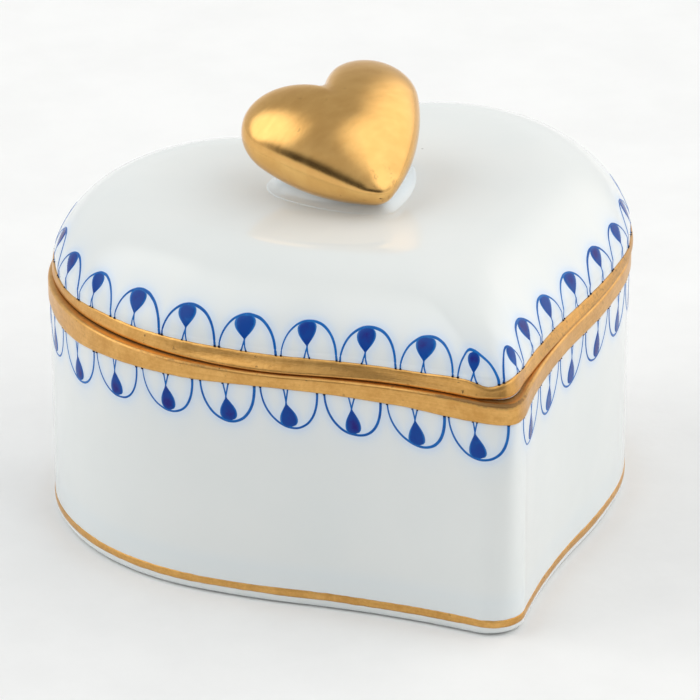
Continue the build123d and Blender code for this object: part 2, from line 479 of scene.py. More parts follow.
class Ends(Enum):
    """What becomes of the two end rings of a sweep."""

    CAPPED = "capped"
    BRIDGED = "bridged"

    def close(self, piece: bpy.types.Object, last: int) -> None:
        """Close the end rings of a mesh in edit mode.

        Args:
            piece: the mesh.
            last: the last rung's place in the profile.
        """
        if self is Ends.BRIDGED:
            self._select(piece, (0, last))
            bpy.ops.mesh.bridge_edge_loops()
            return
        for place in (0, last):
            self._select(piece, (place,))
            bpy.ops.mesh.edge_face_add()
            bpy.ops.mesh.poke()

    def _select(self, piece: bpy.types.Object, places: tuple[int, ...]) -> None:
        """Select the edges that run along some rungs.

        Args:
            piece: the mesh, in edit mode.
            places: the rungs' places in the profile.
        """
        bpy.ops.mesh.select_mode(type="EDGE")
        bpy.ops.mesh.select_all(action="DESELECT")
        mesh = bmesh.from_edit_mesh(piece.data)
        rung_of = mesh.verts.layers.int["rung"]
        for edge in mesh.edges:
            first, second = edge.verts
            if first[rung_of] == second[rung_of] and first[rung_of] in places:
                edge.select = True
        bmesh.update_edit_mesh(piece.data)


def arc_rungs(centre_inset: float, centre_height: float, radius: float, start: float, end: float,
              steps: int) -> list[Rung]:
    """Rungs round part of a circle in the profile.

    Args:
        centre_inset: the circle's centre, from the outline inwards.
        centre_height: the height of its centre.
        radius: its radius.
        start: the first angle in degrees, where 0 points inwards and 90 upwards.
        end: the last angle.
        steps: how many steps the arc is cut into.

    Returns:
        The rungs, with both ends.
    """
    rungs = []
    for step in range(steps + 1):
        angle = math.radians(start + (end - start) * step / steps)
        rungs.append(Rung(centre_inset + radius * math.cos(angle), centre_height + radius * math.sin(angle)))
    return rungs


def straight_rungs(start: Rung, end: Rung, steps: int) -> list[Rung]:
    """Rungs on a straight line of the profile.

    Args:
        start: the rung before the first.
        end: the last rung.
        steps: how many rungs.

    Returns:
        The rungs, without the start.
    """
    rungs = []
    for step in range(1, steps + 1):
        share = step / steps
        rungs.append(Rung(
            start.inset + (end.inset - start.inset) * share,
            start.height + (end.height - start.height) * share,
            start.shrink + (end.shrink - start.shrink) * share,
        ))
    return rungs


# ---- shader bench -----------------------------------------------------------------------------------
class Flow:
    """A value socket that can be used in an expression; each operator adds its Math node."""

    def __init__(self, bench: "NodeBench", socket: bpy.types.NodeSocket) -> None:
        """Wrap a socket of a bench's material."""
        self.bench = bench
        self.socket = socket

    def _math(self, operation: str, *values: "Flow | float") -> "Flow":
        """Add one Math node."""
        return self.bench.node("ShaderNodeMath", {"operation": operation}, list(values))

    def __add__(self, other: "Flow | float") -> "Flow":
        """Sum."""
        return self._math("ADD", self, other)

    def __radd__(self, other: float) -> "Flow":
        """Sum, reflected."""
        return self._math("ADD", other, self)

    def __sub__(self, other: "Flow | float") -> "Flow":
        """Difference."""
        return self._math("SUBTRACT", self, other)

    def __rsub__(self, other: float) -> "Flow":
        """Difference, reflected."""
        return self._math("SUBTRACT", other, self)

    def __mul__(self, other: "Flow | float") -> "Flow":
        """Product."""
        return self._math("MULTIPLY", self, other)

    def __rmul__(self, other: float) -> "Flow":
        """Product, reflected."""
        return self._math("MULTIPLY", other, self)

    def limited(self) -> "Flow":
        """The value kept from 0 to 1."""
        return self._math("MINIMUM", self._math("MAXIMUM", self, 0.0), 1.0)

    def step(self, low: float, high: float) -> "Flow":
        """A smooth step from 0 at low to 1 at high."""
        settings = {"interpolation_type": "SMOOTHSTEP"}
        return self.bench.node("ShaderNodeMapRange", settings, [self, low, high, 0.0, 1.0])


class NodeBench:
    """A material or a world under construction."""

    ATTRIBUTE_VECTOR, ATTRIBUTE_NUMBER = 1, 2                      # outputs of an Attribute node
    WAY, OBJECT_PLACE = 0, 3                                       # outputs of Texture Coordinate
    DOT_PRODUCT = 1                                                # number output of Vector Math
    MIX_FACTOR, MIX_FIRST, MIX_SECOND, MIXED = 0, 6, 7, 2          # colour sockets of a Mix node

    def __init__(self, owner: "bpy.types.Material | bpy.types.World") -> None:
        """Start on an owner's nodes.

        Args:
            owner: a new material or world, whose nodes are only its shader and its output.
        """
        owner.use_nodes = True
        self.owner = owner
        self.tree = owner.node_tree
        self.shader = next(n for n in self.tree.nodes if n.type in ("BSDF_PRINCIPLED", "BACKGROUND"))

    def node(self, kind: str, settings: dict[str, object], sockets: "list | dict",
             output: int = 0) -> Flow:
        """Add a node.

        Args:
            kind: the node's type.
            settings: its properties, set first.
            sockets: values or links for its inputs, in order or by name.
            output: which output the flow carries on.

        Returns:
            The flow from that output.
        """
        made = self.tree.nodes.new(kind)
        for name, value in settings.items():
            setattr(made, name, value)
        pairs = sockets.items() if isinstance(sockets, dict) else enumerate(sockets)
        for name, value in pairs:
            if isinstance(value, Flow):
                self.tree.links.new(value.socket, made.inputs[name])
            elif value is not None:
                made.inputs[name].default_value = value
        return Flow(self, made.outputs[output])

    def attribute(self, name: str, output: int = ATTRIBUTE_NUMBER) -> Flow:
        """A mesh attribute, as a number or as a vector."""
        return self.node("ShaderNodeAttribute", {"attribute_name": name}, [], output)

    def position(self) -> Flow:
        """Object coordinates, in metres."""
        return self.node("ShaderNodeTexCoord", {}, [], self.OBJECT_PLACE)

    def stretched(self, vector: Flow, scale: tuple[float, float, float]) -> Flow:
        """A vector with each axis scaled."""
        return self.node("ShaderNodeVectorMath", {"operation": "MULTIPLY"}, [vector, scale])

    def noise(self, vector: Flow, scale: float, detail: float = 2.0, roughness: float = 0.5) -> Flow:
        """Smooth noise from 0 to 1."""
        values = {"Vector": vector, "Scale": scale, "Detail": detail, "Roughness": roughness}
        return self.node("ShaderNodeTexNoise", {}, values)

    def mix(self, factor: "Flow | float", first: "Flow | tuple", second: "Flow | tuple") -> Flow:
        """A colour between two others."""
        values = {self.MIX_FACTOR: factor, self.MIX_FIRST: first, self.MIX_SECOND: second}
        return self.node("ShaderNodeMix", {"data_type": "RGBA"}, values, self.MIXED)

    def bump(self, height: Flow, strength: float, distance: float) -> Flow:
        """A normal from a height in metres."""
        values = {"Height": height, "Strength": strength, "Distance": distance}
        return self.node("ShaderNodeBump", {}, values)

    def finish(self, **sockets: "Flow | float | tuple") -> "bpy.types.Material | bpy.types.World":
        """Link or set the shader's sockets.

        Args:
            sockets: a flow or a constant for each socket, with underscores for spaces in its name.

        Returns:
            The finished material or world.
        """
        for name, value in sockets.items():
            target = self.shader.inputs[name.replace("_", " ")]
            if isinstance(value, Flow):
                self.tree.links.new(value.socket, target)
            else:
                target.default_value = value
        return self.owner


Colour = tuple[float, float, float, float]


def shade(red: float, green: float, blue: float) -> Colour:
    """An opaque colour."""
    return (red, green, blue, 1.0)


# ---- finishes ---------------------------------------------------------------------------------------
@dataclass(frozen=True)
class Glaze:
    """Clear gloss glaze over cool white porcelain, tinted where the blue has bled and where it pools."""

    name: str = "porcelain_glaze"
    white: Colour = shade(0.785, 0.81, 0.805)
    cool: Colour = shade(0.755, 0.79, 0.79)
    bleed: Colour = shade(0.50, 0.66, 0.92)
    pool: Colour = shade(0.66, 0.76, 0.84)
    speck: Colour = shade(0.16, 0.15, 0.15)
    roughness: float = 0.018
    cloud_scale: float = 45.0             # noise cells per metre, as every scale below
    pit_scale: float = 190.0
    pit_patches: float = 160.0
    ripple_scale: float = 130.0
    ripple_depth: float = 0.00022         # metres, as every depth below

    def make(self) -> bpy.types.Material:
        """Build the material.

        Returns:
            The finished material.
        """
        bench = NodeBench(bpy.data.materials.new(self.name))
        place = bench.position()
        clouds = bench.noise(place, self.cloud_scale, 3.0, 0.55)
        body = bench.mix(clouds.step(0.35, 0.7), self.white, self.cool)
        body = bench.mix((bench.attribute("bleed") * 0.55).limited(), body, self.bleed)
        body = bench.mix((bench.attribute("pool") * 0.6).limited(), body, self.pool)
        cells = bench.node("ShaderNodeTexVoronoi", {}, {"Vector": place, "Scale": self.pit_scale})
        sparse = bench.noise(place, self.pit_patches, 1.0).step(0.60, 0.66)
        pits = (1.0 - cells.step(0.014, 0.034)) * sparse
        body = bench.mix(pits * 0.75, body, self.speck)
        ripple = bench.noise(place, self.ripple_scale, 2.0, 0.5)
        rough = bench.noise(place, 300.0, 3.0) * 0.02 + self.roughness + pits * 0.3
        return bench.finish(
            Base_Color=body, Roughness=rough, IOR=1.52,
            Normal=bench.bump(ripple, 0.22, self.ripple_depth), Coat_Weight=0.25, Coat_Roughness=0.03,
        )


@dataclass(frozen=True)
class Biscuit:
    """Thinly glazed, wiped porcelain on the faces that fit or stand."""

    name: str = "wiped_porcelain"
    light: Colour = shade(0.78, 0.79, 0.77)
    dark: Colour = shade(0.66, 0.66, 0.63)
    grain_scale: float = 900.0
    mark_scale: float = 70.0
    grain_depth: float = 0.00015

    def make(self) -> bpy.types.Material:
        """Build the material.

        Returns:
            The finished material.
        """
        bench = NodeBench(bpy.data.materials.new(self.name))
        place = bench.position()
        grain = bench.noise(place, self.grain_scale, 4.0, 0.6)
        marks = bench.noise(place, self.mark_scale, 3.0, 0.6)
        body = bench.mix(marks.step(0.4, 0.75), self.light, self.dark)
        return bench.finish(
            Base_Color=body, Roughness=grain * 0.25 + 0.38, IOR=1.5,
            Normal=bench.bump(grain, 0.35, self.grain_depth),
        )


@dataclass(frozen=True)
class FiredGold:
    """Liquid gold laid on with a brush and fired: satin, streaked along the stroke, thin in places, and
    darkened by wear and by painted shade where a piece asks for it.
    """

    name: str
    bright: Colour = shade(0.80, 0.46, 0.15)
    dull: Colour = shade(0.60, 0.31, 0.085)
    # dark gold where the gilding is thin or worn, also used as painted shade in the gap under the lid and
    # along the lid's right wall
    worn_and_shade: Colour = shade(0.13, 0.07, 0.028)
    roughness: float = 0.30
    streak: float = 0.10                                      # how much the streaks roughen it
    stroke: tuple[float, float, float] = (0.22, 0.22, 4.5)    # noise cells per millimetre of "sweep"
    hairs: tuple[float, float, float] = (1.4, 1.4, 7.0)
    cloud_scale: float = 420.0
    grain_scale: float = 2600.0
    speck_scale: float = 1500.0
    patch_scale: float = 210.0
    depth: float = 0.0001

    def make(self) -> bpy.types.Material:
        """Build the material.

        Returns:
            The finished material.
        """
        bench = NodeBench(bpy.data.materials.new(self.name))
        along = bench.attribute("sweep", bench.ATTRIBUTE_VECTOR)
        place = bench.position()
        streaks = bench.noise(bench.stretched(along, self.stroke), 1.0, 4.0, 0.65)
        fine = bench.noise(bench.stretched(along, self.hairs), 1.6, 3.0, 0.6)
        cloud = bench.noise(place, self.cloud_scale, 5.0, 0.7)
        grain = bench.noise(place, self.grain_scale, 3.0, 0.6)
        full = (streaks * 0.30 + cloud * 0.5 + grain * 0.25).step(0.36, 0.72)
        body = bench.mix(full, self.dull, self.bright)
        specks = bench.noise(place, self.speck_scale, 2.0, 0.5).step(0.66, 0.76)
        thin = specks * bench.noise(place, self.patch_scale, 2.0).step(0.42, 0.62)
        # darkened by wear, and by painted shade in the gap under the lid and along the lid's right wall
        rubbed_and_shaded = (bench.attribute("wear_and_shade") * (cloud + grain * 0.8)).step(0.36, 0.78)
        thin = (thin + rubbed_and_shaded * 0.85).limited()
        body = bench.mix(thin * 0.9, body, self.worn_and_shade)
        rough = streaks * self.streak + fine * 0.07 + (self.roughness - 0.06) + thin * 0.2
        return bench.finish(
            Base_Color=body, Metallic=1.0 - thin * 0.35, Roughness=rough,
            Normal=bench.bump(streaks * 0.25 + fine * 0.25 + grain * 0.5, 0.45, self.depth),
        )


@dataclass(frozen=True)
class BurnishedGold:
    """Gold on the knob, rubbed bright, with a few dark nicks where it has worn."""

    name: str = "burnished_gold"
    bright: Colour = shade(0.84, 0.505, 0.175)
    warm: Colour = shade(0.73, 0.41, 0.13)
    nick: Colour = shade(0.16, 0.085, 0.03)
    roughness: float = 0.19
    cloud_scale: float = 110.0
    rub_scale: float = 420.0
    rub_stretch: tuple[float, float, float] = (1.0, 2.6, 1.0)
    dot_scale: float = 1300.0
    scuff_scale: float = 900.0
    rub_depth: float = 0.00006

    def make(self) -> bpy.types.Material:
        """Build the material.

        Returns:
            The finished material.
        """
        bench = NodeBench(bpy.data.materials.new(self.name))
        place = bench.position()
        cloud = bench.noise(place, self.cloud_scale, 4.0, 0.6)
        rub = bench.noise(bench.stretched(place, self.rub_stretch), self.rub_scale, 4.0, 0.62)
        body = bench.mix((cloud * 0.6 + rub * 0.4).step(0.34, 0.70), self.warm, self.bright)
        wear_and_shade = bench.attribute("wear_and_shade")
        dots = bench.noise(place, self.dot_scale, 2.0, 0.5).step(0.715, 0.77)
        scuffs = bench.noise(place, self.scuff_scale, 3.0, 0.7).step(0.56, 0.66) * wear_and_shade.step(0.25, 0.9)
        nicks = (dots * (wear_and_shade + 0.22) + scuffs * 0.6).limited()
        body = bench.mix(nicks * 0.85, body, self.nick)
        rough = rub * 0.07 + cloud * 0.05 + (self.roughness - 0.06) + nicks * 0.25
        return bench.finish(
            Base_Color=body, Metallic=1.0 - nicks * 0.4, Roughness=rough,
            Normal=bench.bump(rub, 0.25, self.rub_depth),
        )


@dataclass(frozen=True)
class Cobalt:
    """Cobalt blue brushwork under the glaze: pale where thin, violet-blue where it pools."""

    name: str = "cobalt_brushwork"
    thin: Colour = shade(0.012, 0.165, 0.52)
    full: Colour = shade(0.002, 0.052, 0.30)
    pooled: Colour = shade(0.017, 0.011, 0.18)
    burnt: Colour = shade(0.006, 0.008, 0.03)
    ground: Colour = shade(0.77, 0.80, 0.81)
    pigment_scale: float = 1100.0

    def make(self) -> bpy.types.Material:
        """Build the material.

        Returns:
            The finished material.
        """
        bench = NodeBench(bpy.data.materials.new(self.name))
        place = bench.position()
        load = bench.attribute("load") * (bench.noise(place, self.pigment_scale, 4.0, 0.6) * 0.7 + 0.65)
        body = bench.mix(load.step(0.0, 0.26), self.ground, self.thin)
        body = bench.mix(load.step(0.30, 0.68), body, self.full)
        body = bench.mix(load.step(0.68, 1.1), body, self.pooled)
        body = bench.mix(load.step(1.5, 1.9), body, self.burnt)
        return bench.finish(
            Base_Color=body, Roughness=bench.noise(place, 500.0) * 0.04 + 0.07, IOR=1.27,
        )


# ---- heights shared with the CAD model --------------------------------------------------------------
RIM = level("body_rim_gilding", True)            # the land that the lid rests on
BODY_BAND_LOW = level("body_rim_gilding", False)
LID_BAND_TOP = level("lid_rim_gilding", True)
CROWN = level("lid_shell", True)
FLANGE_LOW = level("lid_locating_flange", False)
FOOT_LINE = (level("foot_gilt_line", False), level("foot_gilt_line", True))

BOX = HeartOutline(BOX_BENDS, notch_radius=4.0)
FIRING = Firing(rim_height=RIM)
REST = LidRest()
STATIONS = 432                                   # points round every swept piece of the body and the lid


def bent(point: Vector) -> Vector:
    """Where a point of the body lies after firing."""
    return FIRING.bend(point)


def lid_bent(point: Vector) -> Vector:
    """Where a point of the lid lies after firing and when it is put on the body."""
    return FIRING.bend(REST.place(point))


def distance_from_tip(distance: float) -> float:
    """A distance along the box's outline, brought to between minus and plus half its girth."""
    return (distance + BOX.half_length) % (2 * BOX.half_length) - BOX.half_length


@dataclass(frozen=True)
class BrushEdge:
    """The uneven edge of a gilt band laid by hand, in millimetres from its true height."""

    seed: float
    amount: float = 0.10
    nicks: tuple[tuple[float, float, float], ...] = ()     # distance from the tip, depth and width
    slow: tuple[float, float] = (6.0, 1.1)                 # waves round the band, and their share
    fine: tuple[float, float] = (38.0, 0.55)

    def at(self, distance: float) -> float:
        """How far the edge strays.

        Args:
            distance: millimetres along the outline from the tip.

        Returns:
            How far above its true height it lies, in millimetres.
        """
        angle = distance * math.pi / BOX.half_length
        ring = Vector((math.cos(angle), math.sin(angle), 0.0))
        slow = noise.noise(ring * self.slow[0] + Vector((0.0, 0.0, self.seed)))
        fine = noise.noise(ring * self.fine[0] + Vector((0.0, 0.0, self.seed + 5.0)))
        stray = self.amount * (self.slow[1] * slow + self.fine[1] * fine)
        for place, depth, width in self.nicks:
            stray -= depth * math.exp(-(distance_from_tip(distance - place) / width) ** 2)
        return stray


# ---- the painted border -----------------------------------------------------------------------------
BLANK_GRIDS = {"line": (44, 4), "stem": (8, 4), "drop": (12, 8), "dot": (4, 4)}     # faces along and across
BLEEDS = ((0.55, 0.8), (1.9, 0.25))              # reach in millimetres and strength of the blue's bleeding
UNBLED = 9.0                                     # a distance at which there is none


@dataclass(frozen=True)
class Brush:
    """A flat grid of faces that is closed into a thin solid, ready to be bent into strokes."""

    along: int
    across: int

    def cut(self) -> bpy.types.Object:
        """Model the blank: x runs along the stroke, y across it, and z is its skin or its underside.

        Returns:
            The blank, one unit long, wide and thick.
        """
        bpy.ops.object.select_all(action="DESELECT")
        bpy.ops.mesh.primitive_grid_add(x_subdivisions=self.along, y_subdivisions=self.across, size=1)
        blank = bpy.context.view_layer.objects.active
        bpy.ops.object.mode_set(mode="EDIT")
        bpy.ops.mesh.extrude_region_move(TRANSFORM_OT_translate={"value": (0, 0, -1)})
        bpy.ops.mesh.select_all(action="SELECT")
        bpy.ops.mesh.normals_make_consistent(inside=False)
        bpy.ops.object.mode_set(mode="OBJECT")
        return blank


@dataclass(frozen=True)
class Stroke:
    """One touch of the brush: its path and half width by share of its length, and its load of colour."""

    path: Callable[[float], tuple[float, float]]
    half_width: Callable[[float], float]
    load: Callable[[float, float], float]


@dataclass(frozen=True)
class ArchRow:
    """Arches side by side: where the first begins, how wide each is (below 0 to the left), how many."""

    start: float
    pitch: float
    count: int
    roundness: float = 1.0            # below 1 for arches with broad tops


@dataclass
class PaintedBorder:
    """A row of blue arches, each holding a drop on two fine stems, painted along the edge of a gilt band."""

    name: str
    edge: Callable[[float], float]                       # height of the gilt edge at a distance from the tip
    surface: Callable[[float, float, float], Vector]     # point at a distance, a height and a raise
    upward: float                                        # 1 where the arches stand on the band, -1 below it
    rows: tuple[ArchRow, ...]
    reach: float
    gap: float
    drop_size: tuple[float, float]                       # half width and length
    drop_shift: tuple[float, float]                      # of its round end and of its point, towards the tip
    top_shift: float
    seed: int
    level: float = 0.0                                   # true height of the gilt edge
    steady: float = 0.0                                  # how far the arches' tops ignore its straying
    swell: float = 0.5                                   # how much a line thickens from foot to foot
    line: float = 0.12                                   # half widths of a line and a stem
    stem: float = 0.105
    full_width: float = 6.4                              # arches narrower than this are painted smaller
    tuck: float = 0.12                                   # how far a line's feet run under the gold
    ink: float = 2.6                                     # load of the dark dots
    dot_lift: float = 0.13
    dot_place: float = 0.05                              # of a dot's middle beyond the gold's edge
    thickness: float = 0.035
    sink: float = 0.03
    blanks: dict[str, bpy.types.Object] = field(default_factory=dict)
    strokes: list[bpy.types.Object] = field(default_factory=list)

    def paint(self) -> bpy.types.Object:
        """Paint every arch and join the strokes into one piece.

        Returns:
            The painted border.
        """
        dice = random.Random(self.seed)
        self.blanks = {kind: Brush(*grid).cut() for kind, grid in BLANK_GRIDS.items()}
        for row in self.rows:
            for place in range(row.count):
                self._arch(dice, row.start + row.pitch * (place + 0.5), abs(row.pitch), row.roundness)
        for blank in self.blanks.values():
            bpy.data.objects.remove(blank)
        border = join(self.strokes, self.name)
        turn_faces_out(border)
        LOG.info("%s: %d strokes, %d faces", self.name, len(self.strokes), len(border.data.polygons))
        return border

    def _arch(self, dice: random.Random, middle: float, pitch: float, square: float) -> None:
        """Paint one arch with its drop, stems and the dots where the lines meet the gold.

        Args:
            dice: the draws that make each arch a little different.
            middle: its middle's distance from the tip.
            pitch: the width it has room for.
            square: its roundness, below 1 for a broad top.
        """
        lean = -math.copysign(1.0, middle)
        width = pitch - self.gap * dice.uniform(0.7, 1.3)
        narrow = min(1.0, width / self.full_width)
        middle += dice.uniform(-0.15, 0.15) * narrow
        reach = self.reach * dice.uniform(0.965, 1.03) * (0.35 + 0.65 * narrow)
        reach += self.upward * (self.level - self.edge(middle)) * self.steady
        shift = lean * self.top_shift * narrow + dice.uniform(-0.12, 0.12)
        roundness = dice.uniform(0.90, 1.02) * square
        heavy, turn = dice.uniform(0.9, 1.25), dice.uniform(-0.9, 0.9)
        tone = dice.uniform(0.42, 0.58)

        def arch(share: float) -> tuple[float, float]:
            """Distance and height of the line at a share of its length, from foot to foot."""
            angle = math.pi * (1 - share)
            side = math.copysign(abs(math.cos(angle)) ** roundness, math.cos(angle))
            rise = math.sin(angle) ** 0.93
            foot = middle + width / 2 * side
            height = self.edge(foot) + self.upward * ((reach + self.tuck) * rise - self.tuck)
            return foot + shift * rise ** 1.5, height

        def line_width(share: float) -> float:
            """Half width of the line, which swells towards one foot."""
            swell = self.swell * (share - 0.45) * lean + 0.15 * math.sin(math.pi * share + turn)
            return self.line * heavy * (1 + swell) * (0.75 + 0.25 * narrow)

        def line_load(along: float, across: float) -> float:
            """Load of the line, which is thin at its edges."""
            return tone * (1 - 0.75 * across ** 4)

        self._lay("line", Stroke(arch, line_width, line_load))
        drop_half, drop_long = self.drop_size[0] * dice.uniform(0.9, 1.08), self.drop_size[1]
        drop_half *= 0.3 + 0.7 * narrow
        drop_long *= dice.uniform(0.93, 1.06) * (0.55 + 0.45 * narrow)
        crest, tip = lean * self.drop_shift[0] * narrow, lean * self.drop_shift[1] * narrow
        base = self.edge(middle)
        top = (middle + crest + dice.uniform(-0.1, 0.1), base + self.upward * (reach - 0.02))
        point = (middle + tip + dice.uniform(-0.1, 0.1), top[1] - self.upward * drop_long)
        self._drop(dice, point, top, drop_half)
        self._stems(dice, point, base)
        for foot in (middle - width / 2, middle + width / 2):
            self._dot(foot + dice.uniform(-0.03, 0.03), dice.uniform(0.09, 0.15))

    def _drop(self, dice: random.Random, point: tuple[float, float], top: tuple[float, float],
              half: float) -> None:
        """Paint a drop.

        Args:
            dice: the draws that make each drop a little different.
            point: distance and height of its point.
            top: distance and height of its round end.
            half: half its width.
        """
        fullest = dice.uniform(0.66, 0.74)
        tone = dice.uniform(0.60, 0.80)
        heart, spread = dice.uniform(0.0, 0.42), dice.uniform(0.5, 0.9)
        off = dice.uniform(-0.35, 0.35)

        def width(share: float) -> float:
            """Half width, which grows to the fullest place and closes in a round end."""
            if share < fullest:
                return half * (0.06 + 0.94 * math.sin(math.pi / 2 * share / fullest) ** 1.12)
            return half * math.sqrt(max(0.0, 1 - ((share - fullest) / (1 - fullest)) ** 2.3))

        def path(share: float) -> tuple[float, float]:
            """A straight line from the point to the round end."""
            return tuple(first + (last - first) * share for first, last in zip(point, top))

        def load(share: float, across: float) -> float:
            """Load of colour, deepest where it has pooled."""
            centre = heart * math.exp(-(((share - 0.68) / 0.26) ** 2 + ((across - off) / spread) ** 2))
            return (tone + centre) * (1 - 0.80 * across ** 8) * (1 - 0.6 * share ** 24)

        self._lay("drop", Stroke(path, width, load))

    def _stems(self, dice: random.Random, point: tuple[float, float], base: float) -> None:
        """Paint the two stems, which cross at the drop's point, and their dots.

        Args:
            dice: the draws that make each pair a little different.
            point: distance and height of the drop's point.
            base: height of the gold's edge below it; not used.
        """
        spread = dice.uniform(0.24, 0.36)
        cross = dice.uniform(0.10, 0.22)
        middle = point[0] + dice.uniform(-0.10, 0.10)
        for side in (-1, 1):
            foot = middle + side * spread

            def path(share: float) -> tuple[float, float]:
                """From inside the drop's point down to the gold."""
                start = point[0] - side * 0.05
                across = start + (foot - start) * share ** (1.0 + cross)
                deep = point[1] + self.upward * 0.25
                return across, deep + (self.edge(foot) - self.upward * 0.1 - deep) * share

            self._lay("stem", Stroke(path, lambda share: self.stem, lambda along, across:
                                     0.46 * (1 - 0.8 * across ** 4)))
            if dice.random() < 0.7:
                self._dot(foot, dice.uniform(0.06, 0.11))

    def _dot(self, place: float, radius: float) -> None:
        """Leave the dark dot where blue runs under the edge of the gold.

        Args:
            place: its distance from the tip.
            radius: its radius.
        """
        height = self.edge(place) + self.upward * self.dot_place

        def path(share: float) -> tuple[float, float]:
            """Across the dot, level with the gold's edge."""
            return place + radius * (2 * share - 1), height

        def width(share: float) -> float:
            """Half its height there."""
            return radius * math.sqrt(max(0.0, 1 - (2 * share - 1) ** 2)) * 1.1

        self._lay("dot", Stroke(path, width, lambda along, across: self.ink), lift=self.dot_lift)

    def _lay(self, kind: str, stroke: Stroke, lift: float = 0.0) -> None:
        """Bend a copy of a blank along a stroke and lay it on the surface.

        Args:
            kind: which blank.
            stroke: its path, width and load.
            lift: how far above the wall it lies, in millimetres.
        """
        blank = self.blanks[kind]
        piece = bpy.data.objects.new(kind, blank.data.copy())
        bpy.context.scene.collection.objects.link(piece)
        loads = []
        step = 0.01
        for vert in piece.data.vertices:
            share, across, under = vert.co.x + 0.5, vert.co.y * 2, vert.co.z < -0.5
            here = stroke.path(share)
            before, after = stroke.path(max(0.0, share - step)), stroke.path(min(1.0, share + step))
            heading = Vector((after[0] - before[0], after[1] - before[1])).normalized()
            half = stroke.half_width(share)
            distance = here[0] - heading.y * half * across
            height = here[1] + heading.x * half * across
            skin = (self.thickness + lift) * (1 - across ** 4) if not under else -self.sink
            vert.co = self.surface(distance, height, skin)
            loads.append(max(0.0, stroke.load(share, abs(across) if kind != "drop" else across)))
        set_attribute(piece, "load", loads)
        self.strokes.append(piece)


def bleed_of(piece: bpy.types.Object, border: bpy.types.Object) -> None:
    """Store how much blue has bled from a border into the glaze at each point of a piece.

    Args:
        piece: the glazed piece.
        border: the painted border that lies on it.
    """
    tree = kdtree.KDTree(len(border.data.vertices))
    for vert in border.data.vertices:
        tree.insert(vert.co, vert.index)
    tree.balance()
    low = min(vert.co.z for vert in border.data.vertices) - 4 * MM
    values = []
    for vert in piece.data.vertices:
        away = tree.find(vert.co)[2] / MM if vert.co.z > low else UNBLED
        values.append(sum(strength * math.exp(-(away / reach) ** 2) for reach, strength in BLEEDS))
    set_attribute(piece, "bleed", values)


# ---- what the sub-assemblies share ------------------------------------------------------------------
@dataclass(frozen=True)
class Coat:
    """The slot that a finished piece takes its material from, and the CAD node that it stands for, if any."""

    slot: Slot
    node: str = ""


@dataclass
class Assembly:
    """A sub-assembly: its finished pieces by name, which all ride on one body."""

    part: ClassVar[Part]
    coats: ClassVar[dict[str, Coat]]
    pieces: dict[str, bpy.types.Object] = field(default_factory=dict)

    def dress(self, wardrobe: dict[Slot, bpy.types.Material]) -> None:
        """Give the pieces their finishes and their body, and hide the CAD node that each stands for.

        Args:
            wardrobe: the material of each slot.
        """
        for name, piece in self.pieces.items():
            coat = self.coats[name]
            piece.data.materials.clear()
            piece.data.materials.append(wardrobe[coat.slot])
            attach(piece, self.part.value)
            if coat.node:
                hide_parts(coat.node)
            LOG.info("%s: %d faces, %s", name, len(piece.data.polygons), coat.slot.value)


